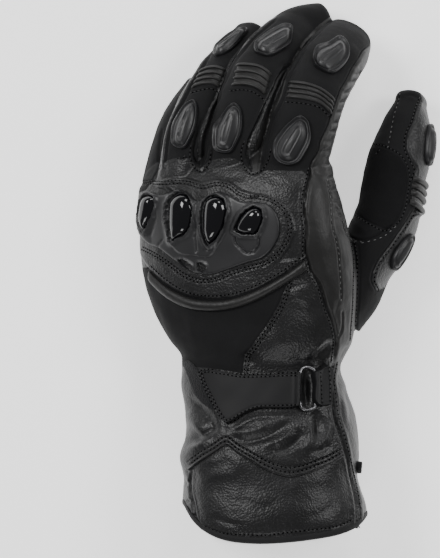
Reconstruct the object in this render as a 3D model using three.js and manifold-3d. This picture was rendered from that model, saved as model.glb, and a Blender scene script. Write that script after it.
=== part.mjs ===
// A left-hand motorcycle gauntlet glove, lying on its palm with the back up.
// Millimetres, +Z up. Before the last step the origin is the middle of the wrist: +X runs to
// the thumb, +Y to the fingertips, and Z = 0 is the surface that the glove lies on. The last
// step moves the origin to the bottom centre of the whole glove.
import * as THREE from "three";
import { mergeVertices } from "three/addons/utils/BufferGeometryUtils.js";
import Module from "manifold-3d";

const wasm = await Module();
wasm.setup();

// Thickness of the leather, the parts on it, and the space between two pieces that touch
const WALL = 2.0; // outer leather, membrane and lining together
const GAP = 0.3;
const PATCH_THICKNESS = 1.0;
const PLATE_THICKNESS = 2.4;
const BAND_HEIGHT = 0.8;
const HEM_THICKNESS = 0.9;
const HEM_WIDTH = 4.5;

// Sizes of the cuff, the wrist and the hand, seen from above and through the form
const CUFF_LENGTH = 86;
const CUFF_WIDTH = 90;
const CUFF_THICKNESS = 66;
const WRIST_WIDTH = 79;
const WRIST_THICKNESS = 52;
const HAND_LENGTH = 104;
const HAND_WIDTH = 103;
const HAND_THICKNESS = 53;

// How far the glove is rolled, thumb side up, and how square its sections are
const WRIST_ROLL = 14;
const HAND_ROLL = 28;
const BODY_SQUARENESS = 2.3;
const FINGER_SQUARENESS = 2.35;

// Sides of each round form
const BODY_SIDES = 22;
const BODY_INNER_SIDES = 14;
const FINGER_SIDES = 12;
const FINGER_INNER_SIDES = 8;

// The cuff, from its open end to the wrist: shares of its length, width, thickness and roll
const CUFF_SECTIONS = [
  { along: 1.105, middle: 0.074, width: 1.019, thick: 1, roll: 0.357, lift: -1.6 },
  { along: 0.814, middle: 0.074, width: 1.019, thick: 1, roll: 0.357, lift: -1.6 },
  { along: 0.663, middle: 0.056, width: 0.967, thick: 0.97, roll: 0.429, lift: -1.4 },
  { along: 0.523, middle: 0.046, width: 0.997, thick: 0.955, roll: 0.5, lift: -0.8 },
  { along: 0.43, middle: 0.058, width: 0.961, thick: 0.932, roll: 0.571, lift: -0.4 },
  { along: 0.233, middle: 0.042, width: 0.917, thick: 0.864, roll: 0.786, lift: 0.4 },
  { along: 0.116, middle: 0.017, width: 0.894, thick: 0.818, roll: 0.893, lift: 0.8 },
];
// The hand, from the wrist to the finger roots: shares of its length, width, thickness and roll
const HAND_SECTIONS = [
  { along: 0.058, middle: 0.015, width: 0.796, thick: 1, roll: 0.536, lift: 0.6 },
  { along: 0.115, middle: -0.001, width: 0.876, thick: 1.009, roll: 0.607, lift: 0.2 },
  { along: 0.221, middle: -0.024, width: 0.951, thick: 1.019, roll: 0.696, lift: -0.6 },
  { along: 0.356, middle: -0.049, width: 1.01, thick: 1.019, roll: 0.786, lift: -0.9 },
  { along: 0.5, middle: -0.064, width: 1.022, thick: 1, roll: 0.875, lift: -1 },
  { along: 0.644, middle: -0.08, width: 0.995, thick: 0.991, roll: 0.946, lift: -0.8 },
  { along: 0.76, middle: -0.096, width: 0.968, thick: 0.972, roll: 0.982, lift: -0.4 },
  { along: 0.894, middle: -0.112, width: 0.917, thick: 0.868, roll: 1, lift: 2 },
  { along: 0.976, middle: -0.102, width: 0.854, thick: 0.717, roll: 1, lift: 6 },
  { along: 1.024, middle: -0.092, width: 0.738, thick: 0.528, roll: 1, lift: 12 },
];

// Each finger: its root in shares of the hand, its length, width and thickness, and its
// sections in shares of those. Height is a share of the hand's thickness; turn is the angle
// in degrees by which the back of the finger faces the little finger's side.
const FINGERTIP = 6; // length of the round end past the last section
const FINGERS = [
  {
    name: "index", across: 0.141, up: 0.953, length: 70, width: 31, thick: 28,
    sections: [
      { up: -0.153, out: -0.055, high: 0.925, width: 0.924, thick: 0.964, turn: 8 },
      { up: 0, out: 0, high: 0.991, width: 1.049, thick: 1, turn: 8 },
      { up: 0.147, out: 0.056, high: 1.019, width: 1.048, thick: 1.018, turn: 9 },
      { up: 0.359, out: 0.127, high: 0.981, width: 1.001, thick: 1, turn: 9 },
      { up: 0.6, out: 0.216, high: 0.811, width: 0.975, thick: 0.964, turn: 7 },
      { up: 0.759, out: 0.302, high: 0.623, width: 0.998, thick: 0.964, turn: 6 },
      { up: 0.868, out: 0.361, high: 0.453, width: 0.972, thick: 0.929, turn: 5 },
      { up: 0.941, out: 0.401, high: 0.321, width: 0.911, thick: 0.857, turn: 5 },
    ],
  },
  {
    name: "middle", across: -0.146, up: 0.948, length: 84, width: 29, thick: 27,
    sections: [
      { up: -0.14, out: -0.047, high: 0.736, width: 0.857, thick: 0.926, turn: 24 },
      { up: 0, out: 0, high: 0.802, width: 0.958, thick: 0.963, turn: 25 },
      { up: 0.129, out: 0.032, high: 0.843, width: 0.973, thick: 0.981, turn: 26 },
      { up: 0.317, out: 0.08, high: 0.84, width: 0.973, thick: 0.974, turn: 27 },
      { up: 0.51, out: 0.148, high: 0.745, width: 0.977, thick: 0.963, turn: 26 },
      { up: 0.647, out: 0.229, high: 0.604, width: 0.981, thick: 0.944, turn: 24 },
      { up: 0.769, out: 0.342, high: 0.406, width: 0.988, thick: 0.926, turn: 20 },
      { up: 0.857, out: 0.477, high: 0.219, width: 0.995, thick: 0.87, turn: 14 },
    ],
  },
  {
    name: "ring", across: -0.376, up: 0.95, length: 70, width: 26, thick: 21,
    sections: [
      { up: -0.156, out: -0.039, high: 0.632, width: 0.921, thick: 1, turn: 38 },
      { up: 0, out: 0, high: 0.651, width: 0.94, thick: 1, turn: 40 },
      { up: 0.156, out: 0.029, high: 0.66, width: 0.939, thick: 1, turn: 42 },
      { up: 0.364, out: 0.092, high: 0.623, width: 0.94, thick: 1, turn: 46 },
      { up: 0.561, out: 0.192, high: 0.528, width: 0.944, thick: 1, turn: 50 },
      { up: 0.695, out: 0.289, high: 0.425, width: 0.947, thick: 1, turn: 52 },
      { up: 0.84, out: 0.411, high: 0.279, width: 0.952, thick: 1.024, turn: 52 },
      { up: 0.932, out: 0.491, high: 0.194, width: 0.877, thick: 0.976, turn: 50 },
    ],
  },
  {
    name: "little", across: -0.466, up: 0.957, length: 46, width: 24, thick: 19,
    sections: [
      { up: -0.199, out: -0.049, high: 0.321, width: 0.925, thick: 1, turn: 66 },
      { up: 0, out: 0, high: 0.292, width: 0.925, thick: 1, turn: 68 },
      { up: 0.232, out: 0.06, high: 0.255, width: 0.884, thick: 1, turn: 70 },
      { up: 0.488, out: 0.152, high: 0.198, width: 0.844, thick: 1, turn: 72 },
      { up: 0.677, out: 0.257, high: 0.181, width: 0.802, thick: 0.974, turn: 74 },
      { up: 0.832, out: 0.367, high: 0.17, width: 0.697, thick: 0.947, turn: 76 },
    ],
  },
];

// The thumb, from inside the wrist to its tip: shares of its length, reach, height and girth
const THUMB_LENGTH = 106;
const THUMB_REACH = 38;
const THUMB_HEIGHT = 30;
const THUMB_WIDTH = 33;
const THUMB_THICKNESS = 33;
const THUMB_ROOT = { across: 0.369, up: 0.231 };
const THUMB_SECTIONS = [
  { up: 0, out: 0, high: 0.983, width: 0.849, thick: 1 },
  { up: 0.094, out: 0.159, high: 0.967, width: 1.001, thick: 1.061 },
  { up: 0.25, out: 0.399, high: 0.883, width: 1.063, thick: 1.061 },
  { up: 0.378, out: 0.588, high: 0.783, width: 0.989, thick: 1.03 },
  { up: 0.497, out: 0.684, high: 0.7, width: 0.96, thick: 1 },
  { up: 0.626, out: 0.734, high: 0.6, width: 0.916, thick: 0.97 },
  { up: 0.75, out: 0.81, high: 0.54, width: 0.917, thick: 0.939 },
  { up: 0.846, out: 0.866, high: 0.487, width: 0.872, thick: 0.894 },
  { up: 0.928, out: 0.901, high: 0.44, width: 0.766, thick: 0.818 },
  { up: 1.015, out: 0.965, high: 0.367, width: 0.552, thick: 0.667 },
];
const THUMB_BACK = -72; // the turn of the thumb's back, which faces away from the fingers

// Lines seen from above, in shares of the hand's width and length from the wrist
const MAIN_SEAM = [
  { across: 0.224, up: 0.989 },
  { across: 0.224, up: 0.904 },
  { across: 0.21, up: 0.828 },
  { across: 0.201, up: 0.729 },
  { across: 0.21, up: 0.527 },
  { across: 0.239, up: 0.442 },
  { across: 0.277, up: 0.376 },
  { across: 0.31, up: 0.282 },
  { across: 0.343, up: 0.178 },
  { across: 0.353, up: 0.093 },
  { across: 0.343, up: -0.015 },
];
const PATCH_EDGE = [
  { across: -0.638, up: 0.546 },
  { across: -0.538, up: 0.447 },
  { across: -0.481, up: 0.395 },
  { across: -0.409, up: 0.343 },
  { across: -0.333, up: 0.31 },
  { across: -0.237, up: 0.3 },
  { across: -0.137, up: 0.31 },
  { across: -0.037, up: 0.347 },
  { across: 0.035, up: 0.38 },
  { across: 0.121, up: 0.428 },
  { across: 0.226, up: 0.494 },
];
const SOFT_SEAM = [
  { across: 0.121, up: 0.428 },
  { across: 0.106, up: 0.362 },
  { across: 0.078, up: 0.291 },
  { across: 0.03, up: 0.21 },
  { across: -0.018, up: 0.144 },
  { across: -0.056, up: 0.092 },
  { across: -0.089, up: -0.016 },
];
const SIDE_SEAM = [
  { across: 0.344, up: -0.02 },
  { across: 0.334, up: -0.072 },
  { across: 0.344, up: -0.158 },
  { across: 0.359, up: -0.253 },
  { across: 0.383, up: -0.329 },
  { across: 0.407, up: -0.415 },
  { across: 0.431, up: -0.519 },
  { across: 0.445, up: -0.586 },
  { across: 0.459, up: -0.681 },
  { across: 0.474, up: -0.919 },
];
const CHEVRON = [
  { across: -0.484, up: -0.471 },
  { across: -0.332, up: -0.443 },
  { across: -0.289, up: -0.41 },
  { across: -0.232, up: -0.377 },
  { across: -0.171, up: -0.339 },
  { across: -0.113, up: -0.372 },
  { across: -0.047, up: -0.41 },
  { across: 0.02, up: -0.448 },
  { across: 0.081, up: -0.471 },
  { across: 0.134, up: -0.481 },
  { across: 0.191, up: -0.471 },
  { across: 0.257, up: -0.448 },
  { across: 0.324, up: -0.419 },
  { across: 0.385, up: -0.382 },
  { across: 0.447, up: -0.368 },
];
const CHEVRON_WIDTH = 4.2;
const CUFF_EDGE = [
  { across: -0.487, up: -0.467 },
  { across: -0.372, up: -0.619 },
  { across: -0.334, up: -0.715 },
  { across: -0.262, up: -0.786 },
  { across: -0.161, up: -0.824 },
  { across: 0.003, up: -0.834 },
  { across: 0.185, up: -0.819 },
  { across: 0.378, up: -0.777 },
  { across: 0.469, up: -0.719 },
  { across: 0.503, up: -0.658 },
  { across: 0.618, up: -0.515 },
];
const GUARD_OUTLINE = [
  { across: -0.611, up: 0.733 },
  { across: -0.597, up: 0.808 },
  { across: -0.483, up: 0.822 },
  { across: -0.393, up: 0.845 },
  { across: -0.313, up: 0.817 },
  { across: -0.209, up: 0.841 },
  { across: -0.114, up: 0.784 },
  { across: 0, up: 0.775 },
  { across: 0.081, up: 0.709 },
  { across: 0.071, up: 0.601 },
  { across: 0.005, up: 0.507 },
  { across: -0.137, up: 0.456 },
  { across: -0.27, up: 0.423 },
  { across: -0.389, up: 0.484 },
  { across: -0.512, up: 0.554 },
  { across: -0.597, up: 0.611 },
];
const HOOK_PATCH_OUTLINE = [
  { across: -0.438, up: 0.04 },
  { across: -0.371, up: 0.045 },
  { across: -0.309, up: 0.002 },
  { across: -0.142, up: -0.026 },
  { across: -0.142, up: -0.178 },
  { across: -0.228, up: -0.211 },
  { across: -0.295, up: -0.187 },
  { across: -0.352, up: -0.135 },
  { across: -0.409, up: -0.116 },
];
const THUMB_PATCH_OUTLINE = [
  { across: 0.502, up: 1.041 },
  { across: 0.57, up: 1.06 },
  { across: 0.663, up: 1.016 },
  { across: 0.697, up: 0.944 },
  { across: 0.697, up: 0.838 },
  { across: 0.678, up: 0.737 },
  { across: 0.609, up: 0.65 },
  { across: 0.454, up: 0.713 },
];
// The padded roll below the knuckles, from the outer side to the thumb side
const ROLL_LINE = [
  { across: -0.533, up: 0.423 },
  { across: -0.504, up: 0.385 },
  { across: -0.457, up: 0.343 },
  { across: -0.395, up: 0.31 },
  { across: -0.318, up: 0.291 },
  { across: -0.237, up: 0.286 },
  { across: -0.142, up: 0.3 },
  { across: -0.051, up: 0.329 },
  { across: 0.025, up: 0.366 },
  { across: 0.097, up: 0.409 },
  { across: 0.163, up: 0.447 },
  { across: 0.221, up: 0.475 },
];
const ROLL_WIDTH = 6.4;
const ROLL_HEIGHT = 4.2;

// The four domes of the knuckle guard: middle in shares of the hand, then length, width,
// height in millimetres and the turn of the long side from the fingers' direction
const DOMES = [
  { across: -0.545, up: 0.712, length: 19, width: 11, height: 3.7, turn: -4, tilt: 50 },
  { across: -0.37, up: 0.7, length: 22, width: 13, height: 8, turn: -4, tilt: 36 },
  { across: -0.2, up: 0.69, length: 24, width: 14, height: 8.5, turn: -8, tilt: 24 },
  { across: -0.04, up: 0.68, length: 16.5, width: 14, height: 8, turn: -26, tilt: 14 },
];

// Moulded pads, ribs and how they sit on the fingers. Along is a share of the finger's length
// from its root; across is millimetres towards the thumb; turn is in degrees.
const PADS = [
  { on: "index", name: "index_pad_tip", along: 0.68, across: -1, length: 19, width: 17, turn: 4, lift: 0 },
  { on: "index", name: "index_pad_base", along: 0.17, across: -2, length: 25, width: 18, turn: -10, lift: 1 },
  { on: "middle", name: "middle_pad_tip", along: 0.68, across: 0, length: 19, width: 16, turn: 6, lift: 0.4 },
  { on: "middle", name: "middle_pad_base", along: 0.205, across: 0, length: 26, width: 16, turn: 2, lift: 1 },
  { on: "ring", name: "ring_pad_tip", along: 0.81, across: 0, length: 18, width: 14, turn: 0, lift: 0 },
  { on: "ring", name: "ring_pad_base", along: 0.27, across: 2.5, length: 24, width: 14, turn: 2, lift: 0.3 },
  { on: "thumb", name: "thumb_pad_tip", along: 0.845, across: 0, length: 20, width: 15, turn: 0, lift: -0.4 },
  { on: "thumb", name: "thumb_pad_base", along: 0.36, across: 1, length: 20, width: 14, turn: 0, lift: -0.4 },
];
const PAD_HEIGHT = 3.1;
const RIBS = [
  { on: "index", name: "index_ribs", along: 0.41, span: 88 },
  { on: "middle", name: "middle_ribs", along: 0.45, span: 92 },
  { on: "ring", name: "ring_ribs", along: 0.56, span: 86 },
  { on: "thumb", name: "thumb_ribs", along: 0.6, span: 74 },
];
const RIB_COUNT = 4;
const RIB_PITCH = 3.2;
const RIB_HEIGHT = 1.5; // above the strip that carries the ribs
const RIB_STRIP = 0.7; // thickness of that strip

// The strap lies across the wrist. Its places are shares of its length from the loop to the free
// end, and heights in millimetres above the leather. It passes round the loop and comes back.
const STRAP_THICKNESS = 1.6;
const STRAP_LENGTH = 46;
const STRAP_WIDTH = 17.6;
const STRAP_END_WIDTH = 25.5;
const STRAP_SLANT = 11.5; // how much longer the strap is at the fingers' side
const STRAP_SPREAD = 3.4; // how far the free end drops towards the cuff
const WIRE = 2.2;
const WIRE_HEIGHT = 3.5; // of the middle of the loop's wire
const LOOP_AT = { across: 0.218, up: -0.101 }; // the middle of the loop
const LOOP_LENGTH = 20.6; // between the middles of its wires, along the strap's width
const LOOP_WIDTH = 9.6; // the same, along the strap
const STRAP_PATH = [
  { along: 1.0, high: 2.7 },
  { along: 0.85, high: 2.7 },
  { along: 0.7, high: 2.8 },
  { along: 0.56, high: 3.2 },
  { along: 0.42, high: 3.2 },
  { along: 0.28, high: 3.2 },
  { along: 0.12, high: 4.3 },
];
const STRAP_RETURN = [
  { along: 0.12, high: 1.2 },
  { along: 0.28, high: 1.2 },
  { along: 0.42, high: 1.2 },
];
const TAB_LENGTH = 9;
const TAB_WIDTH = 17.6;
const TAB_PATH = [
  { along: 1.0, high: 3.2 },
  { along: 0.6, high: 3.3 },
  { along: 0.3, high: 4.3 },
];
const TAB_RETURN = [
  { along: 0.4, high: 1.2 },
  { along: 1.0, high: 1.2 },
];

// The small end of the cuff's closure, at the thumb side, in shares of the cuff
const CLOSURE = { across: 0.555, along: 0.574, length: 4.5, width: 9, thickness: 1.6 };

function solidOf(geometry) {
  const bare = geometry.clone();
  bare.deleteAttribute("normal");
  bare.deleteAttribute("uv");
  const merged = mergeVertices(bare, 1e-4);
  return new wasm.Manifold(
    new wasm.Mesh({
      numProp: 3,
      vertProperties: merged.attributes.position.array,
      triVerts: new Uint32Array(merged.index.array),
    }),
  );
}

function geometryOf(solid) {
  const mesh = solid.getMesh();
  const geometry = new THREE.BufferGeometry();
  geometry.setAttribute("position", new THREE.BufferAttribute(mesh.vertProperties, 3));
  geometry.setIndex(new THREE.BufferAttribute(mesh.triVerts, 1));
  geometry.computeVertexNormals();
  return geometry;
}

// A closed solid through rings of points that all run the same way round
function loft(rings) {
  const count = rings[0].length;
  const points = rings.flat();
  const faces = [];
  for (let r = 0; r + 1 < rings.length; r++) {
    for (let i = 0; i < count; i++) {
      const j = (i + 1) % count;
      const [a, b, c, d] = [r * count + i, r * count + j, (r + 1) * count + j, (r + 1) * count + i];
      faces.push(a, b, c, a, c, d);
    }
  }
  for (const [ring, reversed] of [[0, true], [rings.length - 1, false]]) {
    const middle = new THREE.Vector3();
    rings[ring].forEach((p) => middle.addScaledVector(p, 1 / count));
    points.push(middle);
    for (let i = 0; i < count; i++) {
      const [a, b] = [ring * count + i, ring * count + ((i + 1) % count)];
      faces.push(...(reversed ? [b, a] : [a, b]), points.length - 1);
    }
  }
  const geometry = new THREE.BufferGeometry().setFromPoints(points);
  geometry.setIndex(faces);
  return solidOf(geometry);
}

// One ring round a middle point, no lower than the floor
function ring(section, grow, sides, squareness) {
  const points = [];
  const floor = Math.max(0, -grow);
  for (let i = 0; i < sides; i++) {
    const angle = (i / sides) * 2 * Math.PI;
    const [c, s] = [Math.cos(angle), Math.sin(angle)];
    const across = Math.sign(c) * Math.abs(c) ** (2 / squareness) * (section.halfWidth + grow);
    const above = Math.sign(s) * Math.abs(s) ** (2 / squareness) * (section.halfThick + grow);
    const point = section.middle.clone();
    point.addScaledVector(section.side, -across).addScaledVector(section.back, above);
    point.z = Math.max(point.z, floor);
    points.push(point);
  }
  return points;
}

const radians = THREE.MathUtils.degToRad;
const turned = (roll) => new THREE.Vector3(-Math.sin(radians(roll)), 0, Math.cos(radians(roll)));

// The reach of a rounded section of half sizes a and b, in a direction of cosine c and sine s
function reach(a, b, c, s) {
  const power = BODY_SQUARENESS / (BODY_SQUARENESS - 1);
  return ((a * c) ** power + (b * s) ** power) ** (1 / power);
}

// A section of the cuff or hand that spans a width seen from above and starts at a height
function bodySection(y, x, width, thick, roll, lift) {
  const [c, s] = [Math.cos(radians(roll)), Math.sin(radians(roll))];
  const power = BODY_SQUARENESS / (BODY_SQUARENESS - 1);
  const halfThick = thick / 2;
  const halfWidth = ((width / 2) ** power - (halfThick * s) ** power) ** (1 / power) / c;
  const back = turned(roll);
  return {
    middle: new THREE.Vector3(x, y, lift + reach(halfWidth, halfThick, s, c)),
    side: new THREE.Vector3(0, 1, 0).cross(back),
    back,
    halfWidth,
    halfThick,
  };
}

const BODY = [
  ...CUFF_SECTIONS.map((row) =>
    bodySection(-row.along * CUFF_LENGTH, row.middle * CUFF_WIDTH, row.width * CUFF_WIDTH,
      row.thick * CUFF_THICKNESS, row.roll * WRIST_ROLL, row.lift)),
  bodySection(0, 0, WRIST_WIDTH, WRIST_THICKNESS, WRIST_ROLL, 1),
  ...HAND_SECTIONS.map((row) =>
    bodySection(row.along * HAND_LENGTH, row.middle * HAND_WIDTH, row.width * HAND_WIDTH,
      row.thick * HAND_THICKNESS, row.roll * HAND_ROLL, row.lift)),
];

// The whole hand and cuff as one form, grown by a distance, with its end past the cuff's edge
function body(grow) {
  const sides = grow < 0 ? BODY_INNER_SIDES : BODY_SIDES;
  const rings = BODY.map((section) => ring(section, grow, sides, BODY_SQUARENESS));
  rings[0].forEach((point) => (point.y += grow));
  return loft(rings);
}

// Sections along a path: each one is square to the path, with its back turned as asked
function alongPath(rows) {
  const path = rows.map((row) => row.middle);
  return rows.map((row, i) => {
    const ahead = path[Math.min(i + 1, path.length - 1)].clone();
    ahead.sub(path[Math.max(i - 1, 0)]).normalize();
    const back = turned(row.turn);
    back.addScaledVector(ahead, -back.dot(ahead)).normalize();
    return { ...row, ahead, back, side: ahead.clone().cross(back) };
  });
}

const TIP_SECTIONS = [
  { along: 0.5, scale: 0.84 },
  { along: 0.85, scale: 0.58 },
];

// A finger's form grown by a distance, with a round end past its last section
function tube(sections, grow) {
  const sides = grow < 0 ? FINGER_INNER_SIDES : FINGER_SIDES;
  const rings = sections.map((section) => ring(section, grow, sides, FINGER_SQUARENESS));
  const last = sections.at(-1);
  const floor = Math.max(0, -grow);
  for (const row of TIP_SECTIONS) {
    const section = {
      ...last,
      middle: last.middle.clone().addScaledVector(last.ahead, row.along * (FINGERTIP + grow)),
      halfWidth: (last.halfWidth + grow) * row.scale,
      halfThick: (last.halfThick + grow) * row.scale,
    };
    const points = ring(section, 0, sides, FINGER_SQUARENESS);
    points.forEach((point) => (point.z = Math.max(point.z, floor)));
    rings.push(points);
  }
  return loft(rings);
}

function fingerSections(finger) {
  return alongPath(finger.sections.map((row) => ({
    along: row.up,
    middle: new THREE.Vector3(
      finger.across * HAND_WIDTH + row.out * finger.length,
      finger.up * HAND_LENGTH + row.up * finger.length,
      row.high * HAND_THICKNESS,
    ),
    turn: row.turn,
    halfWidth: (row.width * finger.width) / 2,
    halfThick: (row.thick * finger.thick) / 2,
  })));
}

function thumbSections() {
  return alongPath(THUMB_SECTIONS.map((row) => ({
    along: row.up,
    middle: new THREE.Vector3(
      THUMB_ROOT.across * HAND_WIDTH + row.out * THUMB_REACH,
      THUMB_ROOT.up * HAND_LENGTH + row.up * THUMB_LENGTH,
      row.high * THUMB_HEIGHT,
    ),
    turn: THUMB_BACK,
    halfWidth: (row.thick * THUMB_THICKNESS) / 2,
    halfThick: (row.width * THUMB_WIDTH) / 2,
  })));
}

const STALLS = Object.fromEntries(
  FINGERS.map((finger) => [finger.name, fingerSections(finger)]),
);
STALLS.thumb = thumbSections();

// The frame of a stall at a share of its length
function stallFrame(name, along) {
  const sections = STALLS[name];
  const after = Math.max(1, sections.findIndex((section) => section.along >= along));
  const [a, b] = [sections[after - 1], sections[after]];
  const t = (along - a.along) / (b.along - a.along);
  const mix = (key) => a[key].clone().lerp(b[key], t);
  const back = mix("back").normalize();
  const ahead = mix("ahead");
  ahead.addScaledVector(back, -ahead.dot(back)).normalize();
  return {
    middle: mix("middle"),
    back,
    ahead,
    side: ahead.clone().cross(back),
    halfWidth: a.halfWidth + (b.halfWidth - a.halfWidth) * t,
    halfThick: a.halfThick + (b.halfThick - a.halfThick) * t,
  };
}

// A closed plan line in millimetres, moved outwards by a distance
function planLine(rows, grow) {
  const points = rows.map((row) => new THREE.Vector2(row.across * HAND_WIDTH, row.up * HAND_LENGTH));
  if (THREE.ShapeUtils.isClockWise(points)) points.reverse();
  return points.map((point, i) => {
    const before = points[(i + points.length - 1) % points.length];
    const after = points[(i + 1) % points.length];
    const n1 = new THREE.Vector2(point.y - before.y, before.x - point.x).normalize();
    const n2 = new THREE.Vector2(after.y - point.y, point.x - after.x).normalize();
    const normal = n1.clone().add(n2).normalize();
    return point.clone().addScaledVector(normal, grow / Math.max(0.35, normal.dot(n1)));
  });
}

// An upright prism over a closed plan line
const TALL = 200;
function prism(rows, grow = 0) {
  const shape = new THREE.Shape(planLine(rows, grow));
  const geometry = new THREE.ExtrudeGeometry(shape, { depth: TALL, bevelEnabled: false });
  geometry.translate(0, 0, -TALL / 4);
  return solidOf(geometry);
}

// The half of the form above the seams at its sides
function upperHalf(raise) {
  const far = HAND_WIDTH;
  return loft(BODY.map(({ middle, side, back }, i) => {
    const base = middle.clone().addScaledVector(back, raise);
    if (i === 0) base.y -= far;
    if (i === BODY.length - 1) base.y += far;
    return [[1, 0], [1, 1], [-1, 1], [-1, 0]].map(([s, b]) =>
      base.clone().addScaledVector(side, -s * far).addScaledVector(back, b * far));
  }));
}

const glove = new THREE.Group();
const material = (color, roughness) => new THREE.MeshStandardMaterial({ color, roughness });
const leather = material(0x1c1c1d, 0.5);
const softshell = material(0x151516, 0.9);
const suede = material(0x242324, 0.95);
const moulded = material(0x2a2b2d, 0.45);
const gloss = material(0x050506, 0.08);
const webbing = material(0x19191b, 0.8);
const hooks = material(0x121213, 1.0);
const metal = material(0x1f2022, 0.3);

function add(name, solid, look) {
  const mesh = new THREE.Mesh(geometryOf(solid), look);
  mesh.name = name;
  glove.add(mesh);
  return solid;
}

// The forms that the pieces are cut from
const FAR = 1.5; // past every edge of the glove, in shares of the hand
const cuffEnd = prism([...CUFF_EDGE, { across: FAR, up: -FAR }, { across: -FAR, up: -FAR }]);
const outer = body(0);
const aroundBody = body(GAP);
const stall = {};
const around = {};
for (const name of Object.keys(STALLS)) {
  stall[name] = tube(STALLS[name], 0);
  around[name] = tube(STALLS[name], GAP);
}
let shell = outer.subtract(cuffEnd).subtract(body(-WALL));
// Each finger gives way to the one above it, and keeps a wall there
const NARROWEST_WALL = 1.3;
const order = ["index", "middle", "ring", "little"];
for (const name of Object.keys(STALLS)) {
  const above = order[order.indexOf(name) - 1];
  let inside = tube(STALLS[name], -WALL);
  shell = shell.subtract(inside);
  if (above) {
    inside = inside.subtract(tube(STALLS[above], GAP + NARROWEST_WALL));
    stall[name] = stall[name].subtract(around[above]);
  }
  stall[name] = stall[name].subtract(aroundBody).subtract(inside);
}
for (const finger of order) add(finger + "_finger", stall[finger], leather);
add("thumb", stall.thumb, leather);

// The panels of the hand and the cuff, between the seams seen from above
const corner = (across, up) => ({ across, up });
const reversed = (rows) => [...rows].reverse();
const WRIST_LINE = -0.025;
const handRegion = [corner(-FAR, WRIST_LINE), corner(FAR, WRIST_LINE), corner(FAR, FAR), corner(-FAR, FAR)];
const cuffRegion = [corner(-FAR, -FAR), corner(FAR, -FAR), corner(FAR, WRIST_LINE), corner(-FAR, WRIST_LINE)];
const backRegion = [corner(-FAR, FAR), corner(MAIN_SEAM[0].across, FAR), ...MAIN_SEAM,
  corner(MAIN_SEAM.at(-1).across, -FAR), corner(-FAR, -FAR)];
const sideRegion = [corner(FAR, FAR), corner(MAIN_SEAM[0].across, FAR), ...MAIN_SEAM,
  corner(MAIN_SEAM.at(-1).across, -FAR), corner(FAR, -FAR)];
const knuckleRegion = [corner(-FAR, PATCH_EDGE[0].up), ...PATCH_EDGE,
  corner(FAR, PATCH_EDGE.at(-1).up), corner(FAR, FAR), corner(-FAR, FAR)];
const belowPatch = [corner(-FAR, PATCH_EDGE[0].up), ...PATCH_EDGE,
  corner(FAR, PATCH_EDGE.at(-1).up), corner(FAR, -FAR), corner(-FAR, -FAR)];
const softRegion = [corner(SOFT_SEAM[0].across, FAR), ...SOFT_SEAM,
  corner(SOFT_SEAM.at(-1).across, -FAR), corner(-FAR, -FAR), corner(-FAR, FAR)];
const besideSoft = [corner(SOFT_SEAM[0].across, FAR), ...SOFT_SEAM,
  corner(SOFT_SEAM.at(-1).across, -FAR), corner(FAR, -FAR), corner(FAR, FAR)];
const aboveChevron = [corner(-FAR, CHEVRON[0].up), ...CHEVRON, corner(FAR, CHEVRON.at(-1).up),
  corner(FAR, FAR), corner(-FAR, FAR)];
const moved = (rows, by) => rows.map((row) => corner(row.across, row.up + by / HAND_LENGTH));
const belowChevron = [corner(-FAR, CHEVRON[0].up), ...CHEVRON, corner(FAR, CHEVRON.at(-1).up),
  corner(FAR, -FAR), corner(-FAR, -FAR)];
const cuffBackRegion = [corner(-FAR, FAR), corner(SIDE_SEAM[0].across, FAR), ...SIDE_SEAM,
  corner(SIDE_SEAM.at(-1).across, -FAR), corner(-FAR, -FAR)];
const cuffSideRegion = [corner(FAR, FAR), corner(SIDE_SEAM[0].across, FAR), ...SIDE_SEAM,
  corner(SIDE_SEAM.at(-1).across, -FAR), corner(FAR, -FAR)];

// What a form keeps inside all of some plan regions, half a gap from their edges
function within(solid, ...regions) {
  return regions.reduce((kept, rows) => kept.intersect(prism(rows, -GAP / 2)), solid);
}

const upper = shell.intersect(upperHalf(GAP / 2));
const lower = shell.subtract(upperHalf(-GAP / 2));
add("knuckle_panel", within(upper, backRegion, knuckleRegion), leather);
add("softshell_panel", within(upper, handRegion, belowPatch, softRegion), softshell);
add("wrist_panel", within(upper, handRegion, belowPatch, besideSoft, backRegion), leather);
add("side_panel", within(upper, handRegion, sideRegion), leather);
add("hand_palm", within(lower, handRegion), leather);
add("cuff_back", within(upper, cuffRegion, cuffBackRegion, aboveChevron), leather);
add("cuff_gauntlet", within(upper, cuffBackRegion, belowChevron), leather);
add("cuff_side", within(upper, cuffRegion, cuffSideRegion), leather);
add("cuff_palm", within(lower, cuffRegion), leather);

// A skin of even thickness over the whole hand and cuff, or over a stall
const skin = (thickness) => body(GAP + thickness).subtract(aroundBody);
const stallSkin = (name, thickness) =>
  tube(STALLS[name], GAP + thickness).subtract(around[name]).subtract(aroundBody);

// A place on the back of the hand or cuff, straight below a plan point
const backMesh = new THREE.Mesh(geometryOf(outer));
const ray = new THREE.Raycaster();
const down = new THREE.Vector3(0, 0, -1);
function backHeight(x, y) {
  ray.set(new THREE.Vector3(x, y, TALL), down);
  const hits = ray.intersectObject(backMesh);
  return hits.length ? hits[0].point.z : 0;
}
function backPlace(x, y) {
  const step = 4;
  const slope = (dx, dy) => {
    const z1 = backHeight(x + dx, y + dy);
    const z0 = backHeight(x - dx, y - dy);
    return z1 > 0 && z0 > 0 ? (z1 - z0) / (2 * step) : 1.4 * Math.sign(z1 - z0);
  };
  return {
    middle: new THREE.Vector3(x, y, backHeight(x, y)),
    back: new THREE.Vector3(-slope(step, 0), -slope(0, step), 1).normalize(),
  };
}

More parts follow.
